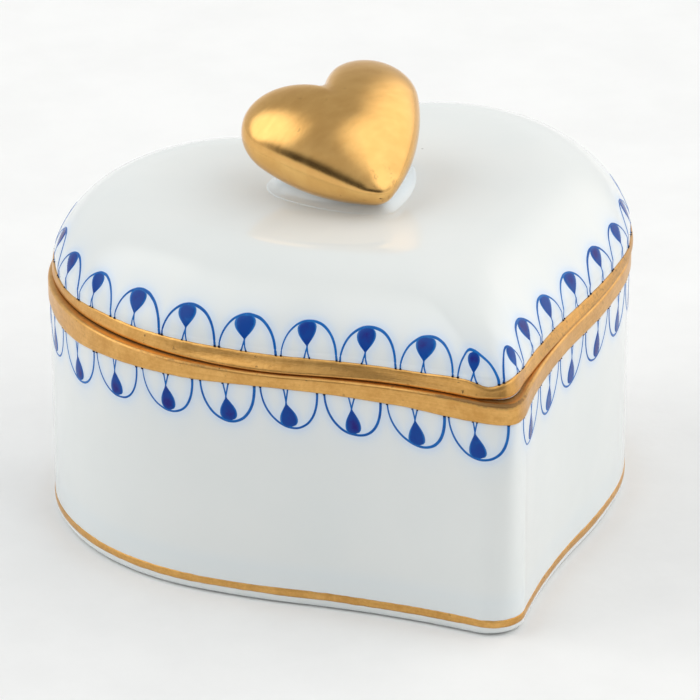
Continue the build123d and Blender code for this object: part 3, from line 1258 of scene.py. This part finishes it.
# ---- the body ---------------------------------------------------------------------------------------
@dataclass
class BoxBody(Assembly):
    """The straight-walled body with its gilded rim, foot line and painted border."""

    part: ClassVar[Part] = Part.BASE
    coats: ClassVar[dict[str, Coat]] = {
        "porcelain_body": Coat(Slot.PORCELAIN, "body_shell"),
        "body_rim_gold": Coat(Slot.RIM_GOLD, "body_rim_gilding"),
        "foot_gold_line": Coat(Slot.LINER_GOLD, "foot_gilt_line"),
        "body_border": Coat(Slot.COBALT),
    }
    wall_inset: float = 0.2
    inside_inset: float = 3.1
    floor: float = 3.6
    floor_rounding: float = 2.6
    foot_rounding: float = 1.1
    foot_inner: float = 4.6           # inset of the foot ring's inner edge
    foot_edge: float = 0.35           # and its rounding
    recess: float = 1.0
    band_start: float = 20.5          # height from which the wall's rungs lie closer
    shoulder: tuple[float, float, float] = (0.8, 0.7, 0.4)     # drop and roundings of the wall's top
    lip: float = 0.34                 # rounding of the gilt rim's outer edge
    skin: float = 0.16                # depth to which the gilding's underside goes
    top_wear_and_shade: tuple[float, float, float] = (13.0, 4.2, 0.36)   # rung, spread and amount of the wear and painted shade along the top edge, under the lid's edge
    # places near the tip and on the left where the top edge darkens more, by wear and by painted shade in the
    # gap
    worn_and_shaded_spots: tuple[tuple[float, float, float], ...] = ((-3.0, 7.0, 0.75), (-38.0, 11.0, 0.30))
    land_shade: tuple[float, float, float] = (19.5, 2.2, 0.9)   # the same for the painted shade on the land under the lid
    edge: BrushEdge = BrushEdge(seed=3.7, amount=0.07, nicks=(
        (1.5, 0.35, 4.0), (-6.0, 0.3, 5.0), (-28.0, -0.6, 10.0), (-57.0, 0.8, 8.0)))

    def surface(self, distance: float, height: float, lift: float) -> Vector:
        """A point on or above the outer wall, in metres."""
        x, y, across, along = BOX.spot(distance, self.wall_inset)
        return bent(Vector((x + across * lift, y + along * lift, height))) * MM

    def build(self) -> None:
        """Model the body's pieces."""
        self._shell()
        self._rim_gold()
        self._foot_line()
        self._border()
        bleed_of(self.pieces["porcelain_body"], self.pieces["body_border"])

    def _shell(self) -> None:
        """Model the cast body, from the middle of its underside round to the middle of its floor."""
        wall, inner, foot = self.wall_inset, self.inside_inset, self.foot_rounding
        drop, rounding, inner_rounding = self.shoulder
        edge, turn = self.foot_edge, self.floor_rounding
        rungs = [Rung(self.foot_inner, self.recess, shrink) for shrink in (0.12, 0.35, 0.6, 0.82, 0.95, 1.0)]
        rungs += arc_rungs(self.foot_inner - edge, edge, edge, 0, -90, 4)
        rungs += arc_rungs(wall + foot, foot, foot, -90, -180, 8)
        rungs += straight_rungs(rungs[-1], Rung(wall, self.band_start), 12)
        rungs += straight_rungs(rungs[-1], Rung(wall, BODY_BAND_LOW + 0.2), 16)
        rungs += straight_rungs(rungs[-1], Rung(wall, RIM - drop), 2)
        rungs += arc_rungs(wall + rounding, RIM - drop, rounding, 180, 90, 5)[1:]
        rungs += arc_rungs(inner - inner_rounding, RIM - 0.5, inner_rounding, 90, 0, 4)
        rungs += straight_rungs(rungs[-1], Rung(inner, self.floor + turn), 10)
        rungs += arc_rungs(inner + turn, self.floor + turn, turn, 180, 270, 8)[1:]
        last = rungs[-1]
        rungs += [Rung(last.inset, last.height, shrink) for shrink in (0.9, 0.7, 0.45, 0.2, 0.07)]
        sweep = Sweep(BOX, STATIONS, bent)
        shell = sweep.build("porcelain_body", rungs, Ends.CAPPED)
        set_attribute(shell, "pool", [self._pooled(vert.co.z / MM) for vert in shell.data.vertices])
        self.pieces["porcelain_body"] = shell

    def _pooled(self, height: float) -> float:
        """How thick the glaze has pooled at a height: round the floor, and a little at the foot."""
        if height > self.recess + 1:
            return math.exp(-((height - self.floor) / 1.6) ** 2) * 0.5
        return math.exp(-height ** 2) * 0.3

    def _rim_gold(self) -> None:
        """Model the gilding over the top of the wall and the land."""
        low, land = BODY_BAND_LOW, RIM
        rungs = [Rung(0.34, low + 0.1), Rung(0.2, low), Rung(0.1, low + 0.02), Rung(0.03, low + 0.09),
                 Rung(0.0, low + 0.2)]
        rungs += straight_rungs(rungs[-1], Rung(0.0, land - self.lip), 6)
        rungs += arc_rungs(self.lip, land - self.lip, self.lip, 180, 90, 7)[1:]
        rungs += straight_rungs(rungs[-1], Rung(self.inside_inset - 0.35, land), 6)
        rungs += [Rung(self.inside_inset - 0.1, land - 0.04), Rung(self.inside_inset - 0.02, land - 0.15),
                  Rung(self.inside_inset - 0.06, land - 0.26),
                  Rung(self.inside_inset - 0.4, land - self.skin), Rung(1.0, land - self.skin),
                  Rung(0.5, land - 0.5)]

        def wobble(distance: float, place: int) -> float:
            """How far the band's lower edge strays; its top is true."""
            return self.edge.at(distance) * max(0.0, 1 - max(0, place - 4) / 3) if place < 8 else 0.0

        sweep = Sweep(BOX, STATIONS, bent, wobble=wobble)
        rim = sweep.build("body_rim_gold", rungs, Ends.BRIDGED)
        # wear and painted shade along the top edge, and painted shade on the land under the lid
        set_attribute(rim, "wear_and_shade", sweep.along(rim, self._shade_and_wear))
        self.pieces["body_rim_gold"] = rim

    def _shade_and_wear(self, distance: float, place: int) -> float:
        """How dark the gilding is made: wear and painted shade along its top edge, most near the tip, and
        painted shade on the land under the lid.

        Args:
            distance: millimetres along the outline.
            place: the rung's place in the profile.

        Returns:
            The darkening, from 0 to about 1.
        """
        away = distance_from_tip(distance)
        rung, spread, most = self.top_wear_and_shade
        for spot, width, amount in self.worn_and_shaded_spots:
            most += amount * math.exp(-((away - spot) / width) ** 2)
        land, width, amount = self.land_shade
        return max(most * math.exp(-((place - rung) / spread) ** 2),
                   amount * math.exp(-((place - land) / width) ** 2))

    def _foot_line(self) -> None:
        """Model the fine gilt line above the foot."""
        low, high = FOOT_LINE
        wall = self.wall_inset
        rungs = [Rung(wall + 0.06, low + 0.1), Rung(wall - 0.005, low), Rung(wall - 0.045, low + 0.12),
                 Rung(wall - 0.058, (low + high) / 2), Rung(wall - 0.045, high - 0.12),
                 Rung(wall - 0.005, high), Rung(wall + 0.06, high - 0.1)]
        edges = (BrushEdge(seed=11.0), BrushEdge(seed=23.0))

        def wobble(distance: float, place: int) -> float:
            """How far each edge of the line strays, on its own."""
            share = min(1.0, max(0.0, (place - 1) / 4))
            return edges[0].at(distance) * (1 - share) + edges[1].at(distance) * share

        sweep = Sweep(BOX, STATIONS, bent, wobble=wobble)
        self.pieces["foot_gold_line"] = sweep.build("foot_gold_line", rungs, Ends.BRIDGED)

    def _border(self) -> None:
        """Paint the border that hangs from the rim's gilding."""
        painter = PaintedBorder(
            name="body_border", surface=self.surface, upward=-1.0,
            edge=lambda distance: BODY_BAND_LOW + self.edge.at(distance),
            rows=(ArchRow(0.2, -7.43, 8), ArchRow(-59.24, -7.877, 6), ArchRow(2.0, 7.464, 14)),
            reach=4.65, gap=0.75, drop_size=(1.02, 3.05), drop_shift=(0.25, -0.2), top_shift=0.5, seed=41,
        )
        self.pieces["body_border"] = painter.paint()

    def dress(self, wardrobe: dict[Slot, bpy.types.Material]) -> None:
        """Dress the pieces, and wipe the glaze off the edge that the body stands on.

        Args:
            wardrobe: the material of each slot.
        """
        super().dress(wardrobe)
        shell = self.pieces["porcelain_body"].data
        shell.materials.append(wardrobe[Slot.BISCUIT])
        for face in shell.polygons:
            stands = all(shell.vertices[corner].co.z < 0.25 * MM for corner in face.vertices)
            face.material_index = 1 if stands else 0


# ---- the lid ----------------------------------------------------------------------------------------
@dataclass
class BoxLid(Assembly):
    """The domed lid with its locating flange, gilded edge and painted border."""

    part: ClassVar[Part] = Part.LID
    coats: ClassVar[dict[str, Coat]] = {
        "porcelain_lid": Coat(Slot.PORCELAIN, "lid_shell"),
        "lid_flange": Coat(Slot.BISCUIT, "lid_locating_flange"),
        "lid_rim_gold": Coat(Slot.RIM_GOLD, "lid_rim_gilding"),
        "lid_border": Coat(Slot.COBALT),
    }
    edge_inset: float = 0.5
    band_inset: float = 0.3
    dome_inset: float = 12.2
    dome_start: float = 28.35
    lip: float = 0.3                  # rounding of the lid's lower edge
    seat: float = 6.9                 # inset of the flat that rests on the body
    hollow_run: float = 5.0
    thickness: float = 2.7
    tip_growth: float = 0.35
    notch_growth: float = 0.9
    flange: tuple[float, float, float] = (4.8, 6.8, 0.6)       # outer and inner inset, and rounding
    flange_root: float = 0.3          # how far the flange goes into the lid
    knob_spot: tuple[float, float] = (-2.3, 4.3)
    pool_reach: float = 8.5           # of the glaze that has pooled round the knob
    edge: BrushEdge = BrushEdge(seed=8.2, amount=0.07, nicks=(
        (-1.5, 0.5, 1.2), (1.8, -0.5, 2.0), (-4.0, -0.3, 4.0),
        (24.0, 0.45, 17.0), (45.0, 0.7, 9.0), (-60.0, 0.6, 7.0)))
    flare: float = 0.15               # spread of the edge's foot all round
    flares: tuple[tuple[float, float, float], ...] = ((-28.0, 0.75, 12.0), (21.0, 0.5, 13.0))
    flare_reach: float = 1.0          # inset beyond which nothing spreads
    side_shade: tuple[float, float, float] = (0.56, 8.0, 1.5)   # amount, start and run of the painted shade along the right wall
    bare: tuple[float, float, float] = (2.2, 0.6, 3.2)      # where the gilding stops short of the lip

    def inset_at(self, height: float) -> float:
        """Inset of the dome's outside.

        Args:
            height: a height on the dome.

        Returns:
            The inset there, in millimetres.
        """
        share = min(1.0, max(0.0, (height - self.dome_start) / (CROWN - self.dome_start)))
        return max(self.edge_inset, self.dome_inset * (1 - math.sqrt(1 - share ** 2)))

    def surface(self, distance: float, height: float, lift: float) -> Vector:
        """A point on or above the dome's outside.

        Args:
            distance: millimetres along the outline at the lid's edge.
            height: its height before firing.
            lift: how far above the glaze it lies.

        Returns:
            The point, in metres.
        """
        inset = self.inset_at(height)
        slope = (self.inset_at(height + 0.05) - self.inset_at(height - 0.05)) / 0.1
        tilt = math.atan(slope)
        foot = BOX.spot(distance, self.edge_inset, self.tip_growth, self.notch_growth)
        share = min(1.0, abs(distance) / 9.0)
        for _ in range(6):
            x, y, across, along = BOX.spot(distance, inset, self.tip_growth, self.notch_growth)
            distance += ((foot[1] - y) * across - (foot[0] - x) * along) * share
        flat = lift * math.cos(tilt)
        flat -= self._flare(distance, Rung(inset, height))
        return lid_bent(Vector((x + across * flat, y + along * flat, height + lift * math.sin(tilt)))) * MM

    def build(self) -> None:
        """Model the lid's pieces."""
        self._shell()
        self._flange()
        self._rim_gold()
        self._border()
        bleed_of(self.pieces["porcelain_lid"], self.pieces["lid_border"])

    def _sweep(self, **settings: object) -> Sweep:
        """How the lid's profiles are carried round."""
        return Sweep(BOX, STATIONS, lid_bent, tip_growth=self.tip_growth, notch_growth=self.notch_growth,
                     sway=self._flare, **settings)

    def _flare(self, distance: float, rung: Rung) -> float:
        """How far the foot of the lid's edge spreads, which is most along the two front sides.

        Args:
            distance: millimetres along the outline.
            rung: a ring of the lid.

        Returns:
            What it adds to the ring's inset.
        """
        if rung.inset > self.flare_reach or rung.height > LID_BAND_TOP:
            return 0.0
        share = min(1.0, (LID_BAND_TOP - rung.height) / (LID_BAND_TOP - RIM - 0.2))
        away = distance_from_tip(distance)
        spread = sum(reach * math.exp(-((away - spot) / width) ** 2) for spot, reach, width in self.flares)
        return -(self.flare + spread) * share ** 1.5

    def _shell(self) -> None:
        """Model the cast lid, from the middle of its crown round to the middle of its hollow."""
        rungs = [Rung(self.dome_inset, CROWN, shrink) for shrink in (0.08, 0.25, 0.45, 0.65, 0.82, 0.94, 1.0)]
        steps = 46
        low = math.asin((LID_BAND_TOP - self.dome_start) / (CROWN - self.dome_start))
        for step in range(1, steps + 1):
            angle = math.pi / 2 + (low - math.pi / 2) * step / steps
            height = self.dome_start + (CROWN - self.dome_start) * math.sin(angle)
            rungs.append(Rung(self.inset_at(height), height))
        rungs += straight_rungs(rungs[-1], Rung(self.edge_inset, RIM + self.lip), 3)
        rungs += arc_rungs(self.edge_inset + self.lip, RIM + self.lip, self.lip, 180, 270, 6)[1:]
        rungs += straight_rungs(rungs[-1], Rung(self.seat, RIM), 6)
        rise = CROWN - self.thickness - RIM
        for step in range(1, 15):
            angle = math.pi / 2 * step / 14
            rungs.append(Rung(self.seat + self.hollow_run * (1 - math.cos(angle)),
                              RIM + rise * math.sin(angle)))
        last = rungs[-1]
        rungs += [Rung(last.inset, last.height, shrink) for shrink in (0.9, 0.6, 0.25, 0.08)]
        shell = self._sweep().build("porcelain_lid", rungs, Ends.CAPPED)
        centre = REST.place(Vector((*self.knob_spot, 0.0)))
        pools = []
        for vert in shell.data.vertices:
            away = math.hypot(vert.co.x / MM - centre.x, (vert.co.y / MM - centre.y) * 1.1)
            outside = vert.co.z / MM > CROWN - 0.8
            pools.append(math.exp(-(away / self.pool_reach) ** 4) * 0.8 if outside else 0.0)
        set_attribute(shell, "pool", pools)
        self.pieces["porcelain_lid"] = shell

    def _flange(self) -> None:
        """Model the ring under the lid that keeps it from sliding."""
        outer, inner, rounding = self.flange
        low, root = FLANGE_LOW + rounding, RIM + self.flange_root
        rungs = [Rung(outer, root)]
        rungs += straight_rungs(rungs[-1], Rung(outer, low), 4)
        rungs += arc_rungs(outer + rounding, low, rounding, 180, 270, 5)[1:]
        rungs += arc_rungs(inner - rounding, low, rounding, 270, 360, 5)
        rungs += straight_rungs(rungs[-1], Rung(inner, root), 4)
        self.pieces["lid_flange"] = self._sweep().build("lid_flange", rungs, Ends.BRIDGED)

    def _rim_gold(self) -> None:
        """Model the gilding round the lid's edge."""
        skin, wall, low, high = self.band_inset, self.edge_inset, RIM, LID_BAND_TOP
        rungs = [Rung(wall + 0.3, low + 0.2), Rung(skin + 0.2, low + 0.06), Rung(skin + 0.08, low + 0.12),
                 Rung(skin + 0.02, low + 0.22), Rung(skin, low + 0.45)]
        rungs += straight_rungs(rungs[-1], Rung(skin + 0.02, high - 0.3), 5)
        rungs += [Rung(skin + 0.05, high - 0.15), Rung(skin + 0.11, high - 0.04), Rung(skin + 0.2, high),
                  Rung(wall + 0.12, high - 0.1), Rung(wall + 0.12, low + 0.6)]

        def wobble(distance: float, place: int) -> float:
            """How far the band's upper edge strays, and where its lower edge stops short."""
            share = min(1.0, max(0.0, (place - 4) / 5)) if place < len(rungs) - 1 else 0.0
            spot, height, width = self.bare
            lift = height * math.exp(-(distance_from_tip(distance - spot) / width) ** 2)
            return self.edge.at(distance) * share + lift * max(0.0, 1 - place / 6)

        sweep = self._sweep(wobble=wobble)
        rim = sweep.build("lid_rim_gold", rungs, Ends.BRIDGED)
        # painted shade along the right wall and under the band
        set_attribute(rim, "wear_and_shade", sweep.along(rim, self._shade_and_wear))
        self.pieces["lid_rim_gold"] = rim

    def _shade_and_wear(self, distance: float, place: int) -> float:
        """Painted shade on the gilding: along the right wall, and most underneath, where the band sits over
        the body's rim.

        Args:
            distance: millimetres along the outline.
            place: the rung's place in the profile.

        Returns:
            The painted shade, from 0 to about 1.
        """
        amount, start, run = self.side_shade
        right = amount / (1 + math.exp((start - distance_from_tip(distance)) / run))
        return max(right, 0.8 - 0.35 * place)

    def _border(self) -> None:
        """Paint the border that stands on the gilded edge."""
        painter = PaintedBorder(
            name="lid_border", surface=self.surface, upward=1.0,
            edge=lambda distance: LID_BAND_TOP + self.edge.at(distance),
            rows=(ArchRow(-0.25, -4.95, 1, 0.66), ArchRow(-5.2, -7.235, 14),
                  ArchRow(-0.25, 4.75, 1, 0.8), ArchRow(4.5, 7.285, 14)),
            level=LID_BAND_TOP, steady=0.4,
            reach=3.78, gap=0.55, drop_size=(1.2, 2.35), drop_shift=(-0.68, -0.38), top_shift=-0.15, seed=17,
        )
        self.pieces["lid_border"] = painter.paint()


# ---- the knob ---------------------------------------------------------------------------------------
@dataclass
class HeartKnob(Assembly):
    """The gilded heart and the glazed pad that it beds into."""

    part: ClassVar[Part] = Part.LID
    coats: ClassVar[dict[str, Coat]] = {
        "gold_heart_knob": Coat(Slot.BURNISHED_GOLD, "heart_knob"),
        "knob_pad": Coat(Slot.PORCELAIN, "knob_seat"),
    }
    outline: HeartOutline = field(default_factory=lambda: HeartOutline(KNOB_BENDS, notch_radius=1.39))
    stations: int = 240
    steps: int = 26                   # rungs from the heart's waist to each pole
    thickness: float = 11.07
    fullness: float = 2.33            # how boxy the heart is through its thickness
    roundness: float = 2.1            # and how steeply its rings shrink
    crown_round: float = 0.9          # how soon the notch's crease dies away up the faces
    crown_radius: float = 7.0
    right_lobe: float = 0.045         # how much further one lobe reaches than the other
    droop: tuple[float, float] = (0.314, 0.101)       # of the upper and lower face towards the tip
    pole: float = 0.8
    lean: float = 22.5
    roll: float = -8.2
    yaw: float = 2.7
    centre: tuple[float, float, float] = (-2.33, 4.25, 46.03)
    pad_shift: tuple[float, float] = (1.5, -0.3)      # of the pad against the heart
    pad_scale: tuple[float, float] = (0.89, 0.17)     # at its foot, and how much of it the flare takes away
    pad_rise: tuple[float, float] = (-0.10, 1.9)      # of the flare, against the crown
    pad_neck: tuple[tuple[float, float], ...] = ((2.6, 0.71), (3.3, 0.66), (3.6, 0.46), (3.65, 0.2))
    worn_tip: tuple[float, float, float] = (-7.2, 3.2, 0.9)       # place, reach and amount
    worn_side: tuple[float, float, float] = (-7.5, 2.6, 0.6)

    def _seated(self, point: Vector) -> Vector:
        """Where the knob's lean and the lid's place put a point.

        Args:
            point: a point drawn about the knob's own centre.

        Returns:
            The point on the box, in millimetres.
        """
        turn = Matrix.Identity(3)
        for angle, axis in ((self.yaw, "Z"), (self.roll, "Y"), (self.lean, "X")):
            turn = turn @ Matrix.Rotation(math.radians(angle), 3, axis)
        return REST.place(turn @ self._puffed(point - Vector((0, self.pole, 0))) + Vector(self.centre))

    def _puffed(self, point: Vector) -> Vector:
        """Round off the heart's upper and lower rings, and let its faces droop to the tip.

        Args:
            point: a point of a shrunken ring.

        Returns:
            Where it lies on the puffed heart.
        """
        shrink = (1 - abs(2 * point.z / self.thickness) ** self.fullness) ** (1 / self.roundness)
        radius = math.hypot(point.x, point.y)
        blend = self.crown_round * (1 - shrink)
        stretch = (1 - blend) + blend * self.crown_radius * shrink / max(radius, 0.01)
        x, y = point.x * stretch, point.y * stretch
        if x > 0 and y > 0:
            y *= 1 + self.right_lobe * min(1.0, x / 3.0)
        reach = min(1.2, max(0.0, (-y - 0.5) / 7.0))
        sag = self.droop[0] if point.z > 0 else self.droop[1]
        return Vector((x, y, point.z * (1 - sag * reach ** 2)))

    def build(self) -> None:
        """Model the heart and its pad."""
        self._heart()
        self._pad()

    def _heart(self) -> None:
        """Model the heart as rings that shrink towards a pole above and below."""
        rungs = []
        for step in range(-self.steps, self.steps + 1):
            share = math.sin(math.radians(87) * step / self.steps)
            shrink = (1 - abs(share) ** self.fullness) ** (1 / self.roundness)
            rungs.append(Rung(0.0, share * self.thickness / 2, shrink))
        sweep = Sweep(self.outline, self.stations, self._seated, pole=(0.0, self.pole))
        heart = sweep.build("gold_heart_knob", rungs, Ends.CAPPED)
        apply_modifier(heart, "SMOOTH", factor=0.5, iterations=4)
        low, tip_reach, tip_wear = self.worn_tip
        aside, side_reach, side_shade = self.worn_side
        tip = self._seated(Vector((0.0, low, 0.0))) * MM
        side = self._seated(Vector((aside, 0.5, 0.0))) * MM
        set_attribute(heart, "wear_and_shade", [
            math.exp(-((vert.co - tip).length / (tip_reach * MM)) ** 2) * tip_wear
            + math.exp(-((vert.co - side).length / (side_reach * MM)) ** 2) * side_shade
            for vert in heart.data.vertices])
        self.pieces["gold_heart_knob"] = heart

    def _pad(self) -> None:
        """Model the pad: a skirt that flares out of the dome and rises under the heart."""
        turn = Matrix.Rotation(math.radians(self.yaw), 3, "Z")
        base = Vector((self.centre[0] + self.pad_shift[0], self.centre[1] + self.pad_shift[1], CROWN))
        low, rise = self.pad_rise
        scale, narrowing = self.pad_scale

        def place(point: Vector) -> Vector:
            """Where a point of the pad lies on the lid."""
            return REST.place(turn @ point + base)

        flare = [Rung(0.0, -0.9, 0.86)]
        for step in range(13):
            angle = math.radians(90 * step / 12)
            flare.append(Rung(0.0, low + rise * (1 - math.cos(angle)), scale - narrowing * math.sin(angle)))
        flare += [Rung(0.0, height, shrink) for height, shrink in self.pad_neck]
        sweep = Sweep(self.outline, self.stations, place)
        pad = sweep.build("knob_pad", flare, Ends.CAPPED)
        apply_modifier(pad, "SMOOTH", factor=0.5, iterations=4)
        set_attribute(pad, "pool", [
            0.8 + 0.5 * min(1.0, max(0.0, vert.co.z / MM - CROWN) / 0.7) for vert in pad.data.vertices])
        self.pieces["knob_pad"] = pad


# ---- studio -----------------------------------------------------------------------------------------
def direction(azimuth: float, elevation: float) -> Vector:
    """The way towards a place in the room.

    Args:
        azimuth: degrees round the box, 0 in front of the tip and 90 on the +X side.
        elevation: degrees above the floor.

    Returns:
        The unit vector from the box.
    """
    turn, rise = math.radians(azimuth), math.radians(elevation)
    return Vector((math.sin(turn) * math.cos(rise), -math.cos(turn) * math.cos(rise), math.sin(rise)))


@dataclass(frozen=True)
class Glow:
    """A bright region of the room's walls, with a soft edge."""

    azimuth: float
    elevation: float
    colour: Colour
    spread: float         # degrees from its middle to where it has died away
    core: float           # degrees over which it is at its full strength


@dataclass(frozen=True)
class SoftBox:
    """A large soft light that faces the box and isn't mirrored in it."""

    name: str
    azimuth: float
    elevation: float
    distance: float       # metres
    size: tuple[float, float]
    power: float
    colour: tuple[float, float, float] = (1.0, 1.0, 1.0)

    def place(self, target: Vector) -> None:
        """Hang the light.

        Args:
            target: the point that it faces, in metres.
        """
        lamp = bpy.data.lights.new(self.name, "AREA")
        lamp.shape = "RECTANGLE"
        lamp.size, lamp.size_y = self.size
        lamp.energy, lamp.color = self.power, self.colour
        holder = bpy.data.objects.new(self.name, lamp)
        bpy.context.scene.collection.objects.link(holder)
        holder.visible_glossy = False
        away = direction(self.azimuth, self.elevation)
        holder.location = target + away * self.distance
        holder.rotation_mode = "QUATERNION"
        holder.rotation_quaternion = away.to_track_quat("Z", "Y")


@dataclass(frozen=True)
class Studio:
    """Pale floor, soft lights and the camera."""

    target: tuple[float, float, float] = (-1.64, 3.9, 20.0)       # millimetres
    azimuth: float = -24.73
    elevation: float = 24.35
    distance: float = 721.0
    roll: float = -0.0066
    lens: float = 322.6
    floor_size: float = 3.0
    floor_colour: Colour = shade(0.86, 0.865, 0.87)
    floor_shade: Colour = shade(0.83, 0.835, 0.84)
    sensor: float = 36.0
    clip: tuple[float, float] = (0.05, 20.0)                      # metres
    horizon: Colour = shade(0.77, 0.785, 0.785)
    zenith: Colour = shade(0.52, 0.53, 0.54)
    doorway: Colour = shade(0.05, 0.05, 0.05)
    doorway_shift: float = -12.0                                  # degrees from the camera's own azimuth
    glows: tuple[Glow, ...] = (
        Glow(30, 44, shade(1.6, 1.58, 1.52), 38, 10),
        Glow(88, 28, shade(1.6, 1.56, 1.5), 46, 10),
        Glow(-112, 38, shade(1.95, 1.95, 1.9), 37, 20),
    )
    boxes: tuple[SoftBox, ...] = (
        SoftBox("key_right", 66, 38, 0.75, (0.60, 0.50), 0.3),
        SoftBox("back_wash", 175, 50, 0.62, (0.9, 0.5), 0.42),
    )

    def build(self) -> None:
        """Set everything up."""
        self._floor()
        self._air()
        for box in self.boxes:
            box.place(Vector(self.target) * MM)
        self._camera()

    def _air(self) -> None:
        """Light the room: bright low down, duller overhead, dark through a doorway behind the camera."""
        world = bpy.data.worlds.new("studio_air")
        bpy.context.scene.world = world
        bench = NodeBench(world)
        way = bench.node("ShaderNodeTexCoord", {}, [], bench.WAY)

        def facing(azimuth: float, elevation: float) -> Flow:
            """How squarely a ray goes towards a place in the room, 1 straight at it."""
            settings, towards = {"operation": "DOT_PRODUCT"}, tuple(direction(azimuth, elevation))
            return bench.node("ShaderNodeVectorMath", settings, [way, towards], bench.DOT_PRODUCT)

        up = facing(0.0, 90.0)
        air = bench.mix(up.step(0.10, 0.75), self.horizon, self.zenith)
        low = 1.0 - up.step(0.22, 0.46)
        door = facing(self.azimuth + self.doorway_shift, 0.0).step(0.52, 0.80)
        air = bench.mix(door * low, air, self.doorway)
        for glow in self.glows:
            edge, core = math.cos(math.radians(glow.spread)), math.cos(math.radians(glow.core))
            air = bench.mix(facing(glow.azimuth, glow.elevation).step(edge, core), air, glow.colour)
        bench.finish(Color=air, Strength=1.0)

    def _floor(self) -> None:
        """Lay the floor."""
        bpy.ops.object.select_all(action="DESELECT")
        bpy.ops.mesh.primitive_plane_add(size=self.floor_size, location=(0, 0, 0))
        floor = bpy.context.view_layer.objects.active
        floor.name = "studio_floor"
        bench = NodeBench(bpy.data.materials.new("studio_floor"))
        place = bench.position()
        mottle = bench.noise(place, 60.0, 4.0, 0.6)
        body = bench.mix(mottle.step(0.3, 0.7), self.floor_colour, self.floor_shade)
        floor.data.materials.append(bench.finish(
            Base_Color=body, Roughness=0.75, Normal=bench.bump(bench.noise(place, 700.0, 4.0), 0.2, 0.0002)))

    def _camera(self) -> None:
        """Put the camera in front, to the left and above."""
        back = direction(self.azimuth, self.elevation)
        lens = bpy.data.cameras.new("camera")
        lens.lens, lens.sensor_width = self.lens, self.sensor
        lens.clip_start, lens.clip_end = self.clip
        camera = bpy.data.objects.new("camera", lens)
        bpy.context.scene.collection.objects.link(camera)
        camera.location = (Vector(self.target) + back * self.distance) * MM
        camera.rotation_mode = "QUATERNION"
        roll = Matrix.Rotation(self.roll, 3, "Z").to_quaternion()
        camera.rotation_quaternion = back.to_track_quat("Z", "Y") @ roll
        bpy.context.scene.camera = camera


def main() -> None:
    """Build the box, dress it and set up the studio."""
    logging.basicConfig(level=logging.INFO, format="%(name)s: %(message)s")
    wardrobe = {
        Slot.PORCELAIN: Glaze().make(),
        Slot.BISCUIT: Biscuit().make(),
        Slot.RIM_GOLD: FiredGold("rim_gold").make(),
        Slot.LINER_GOLD: FiredGold("liner_gold", roughness=0.34).make(),
        Slot.BURNISHED_GOLD: BurnishedGold().make(),
        Slot.COBALT: Cobalt().make(),
    }
    for assembly in (BoxBody(), BoxLid(), HeartKnob()):
        assembly.build()
        assembly.dress(wardrobe)
    Studio().build()
    bpy.context.scene.view_settings.view_transform = "Standard"


if __name__ == "__main__":
    main()
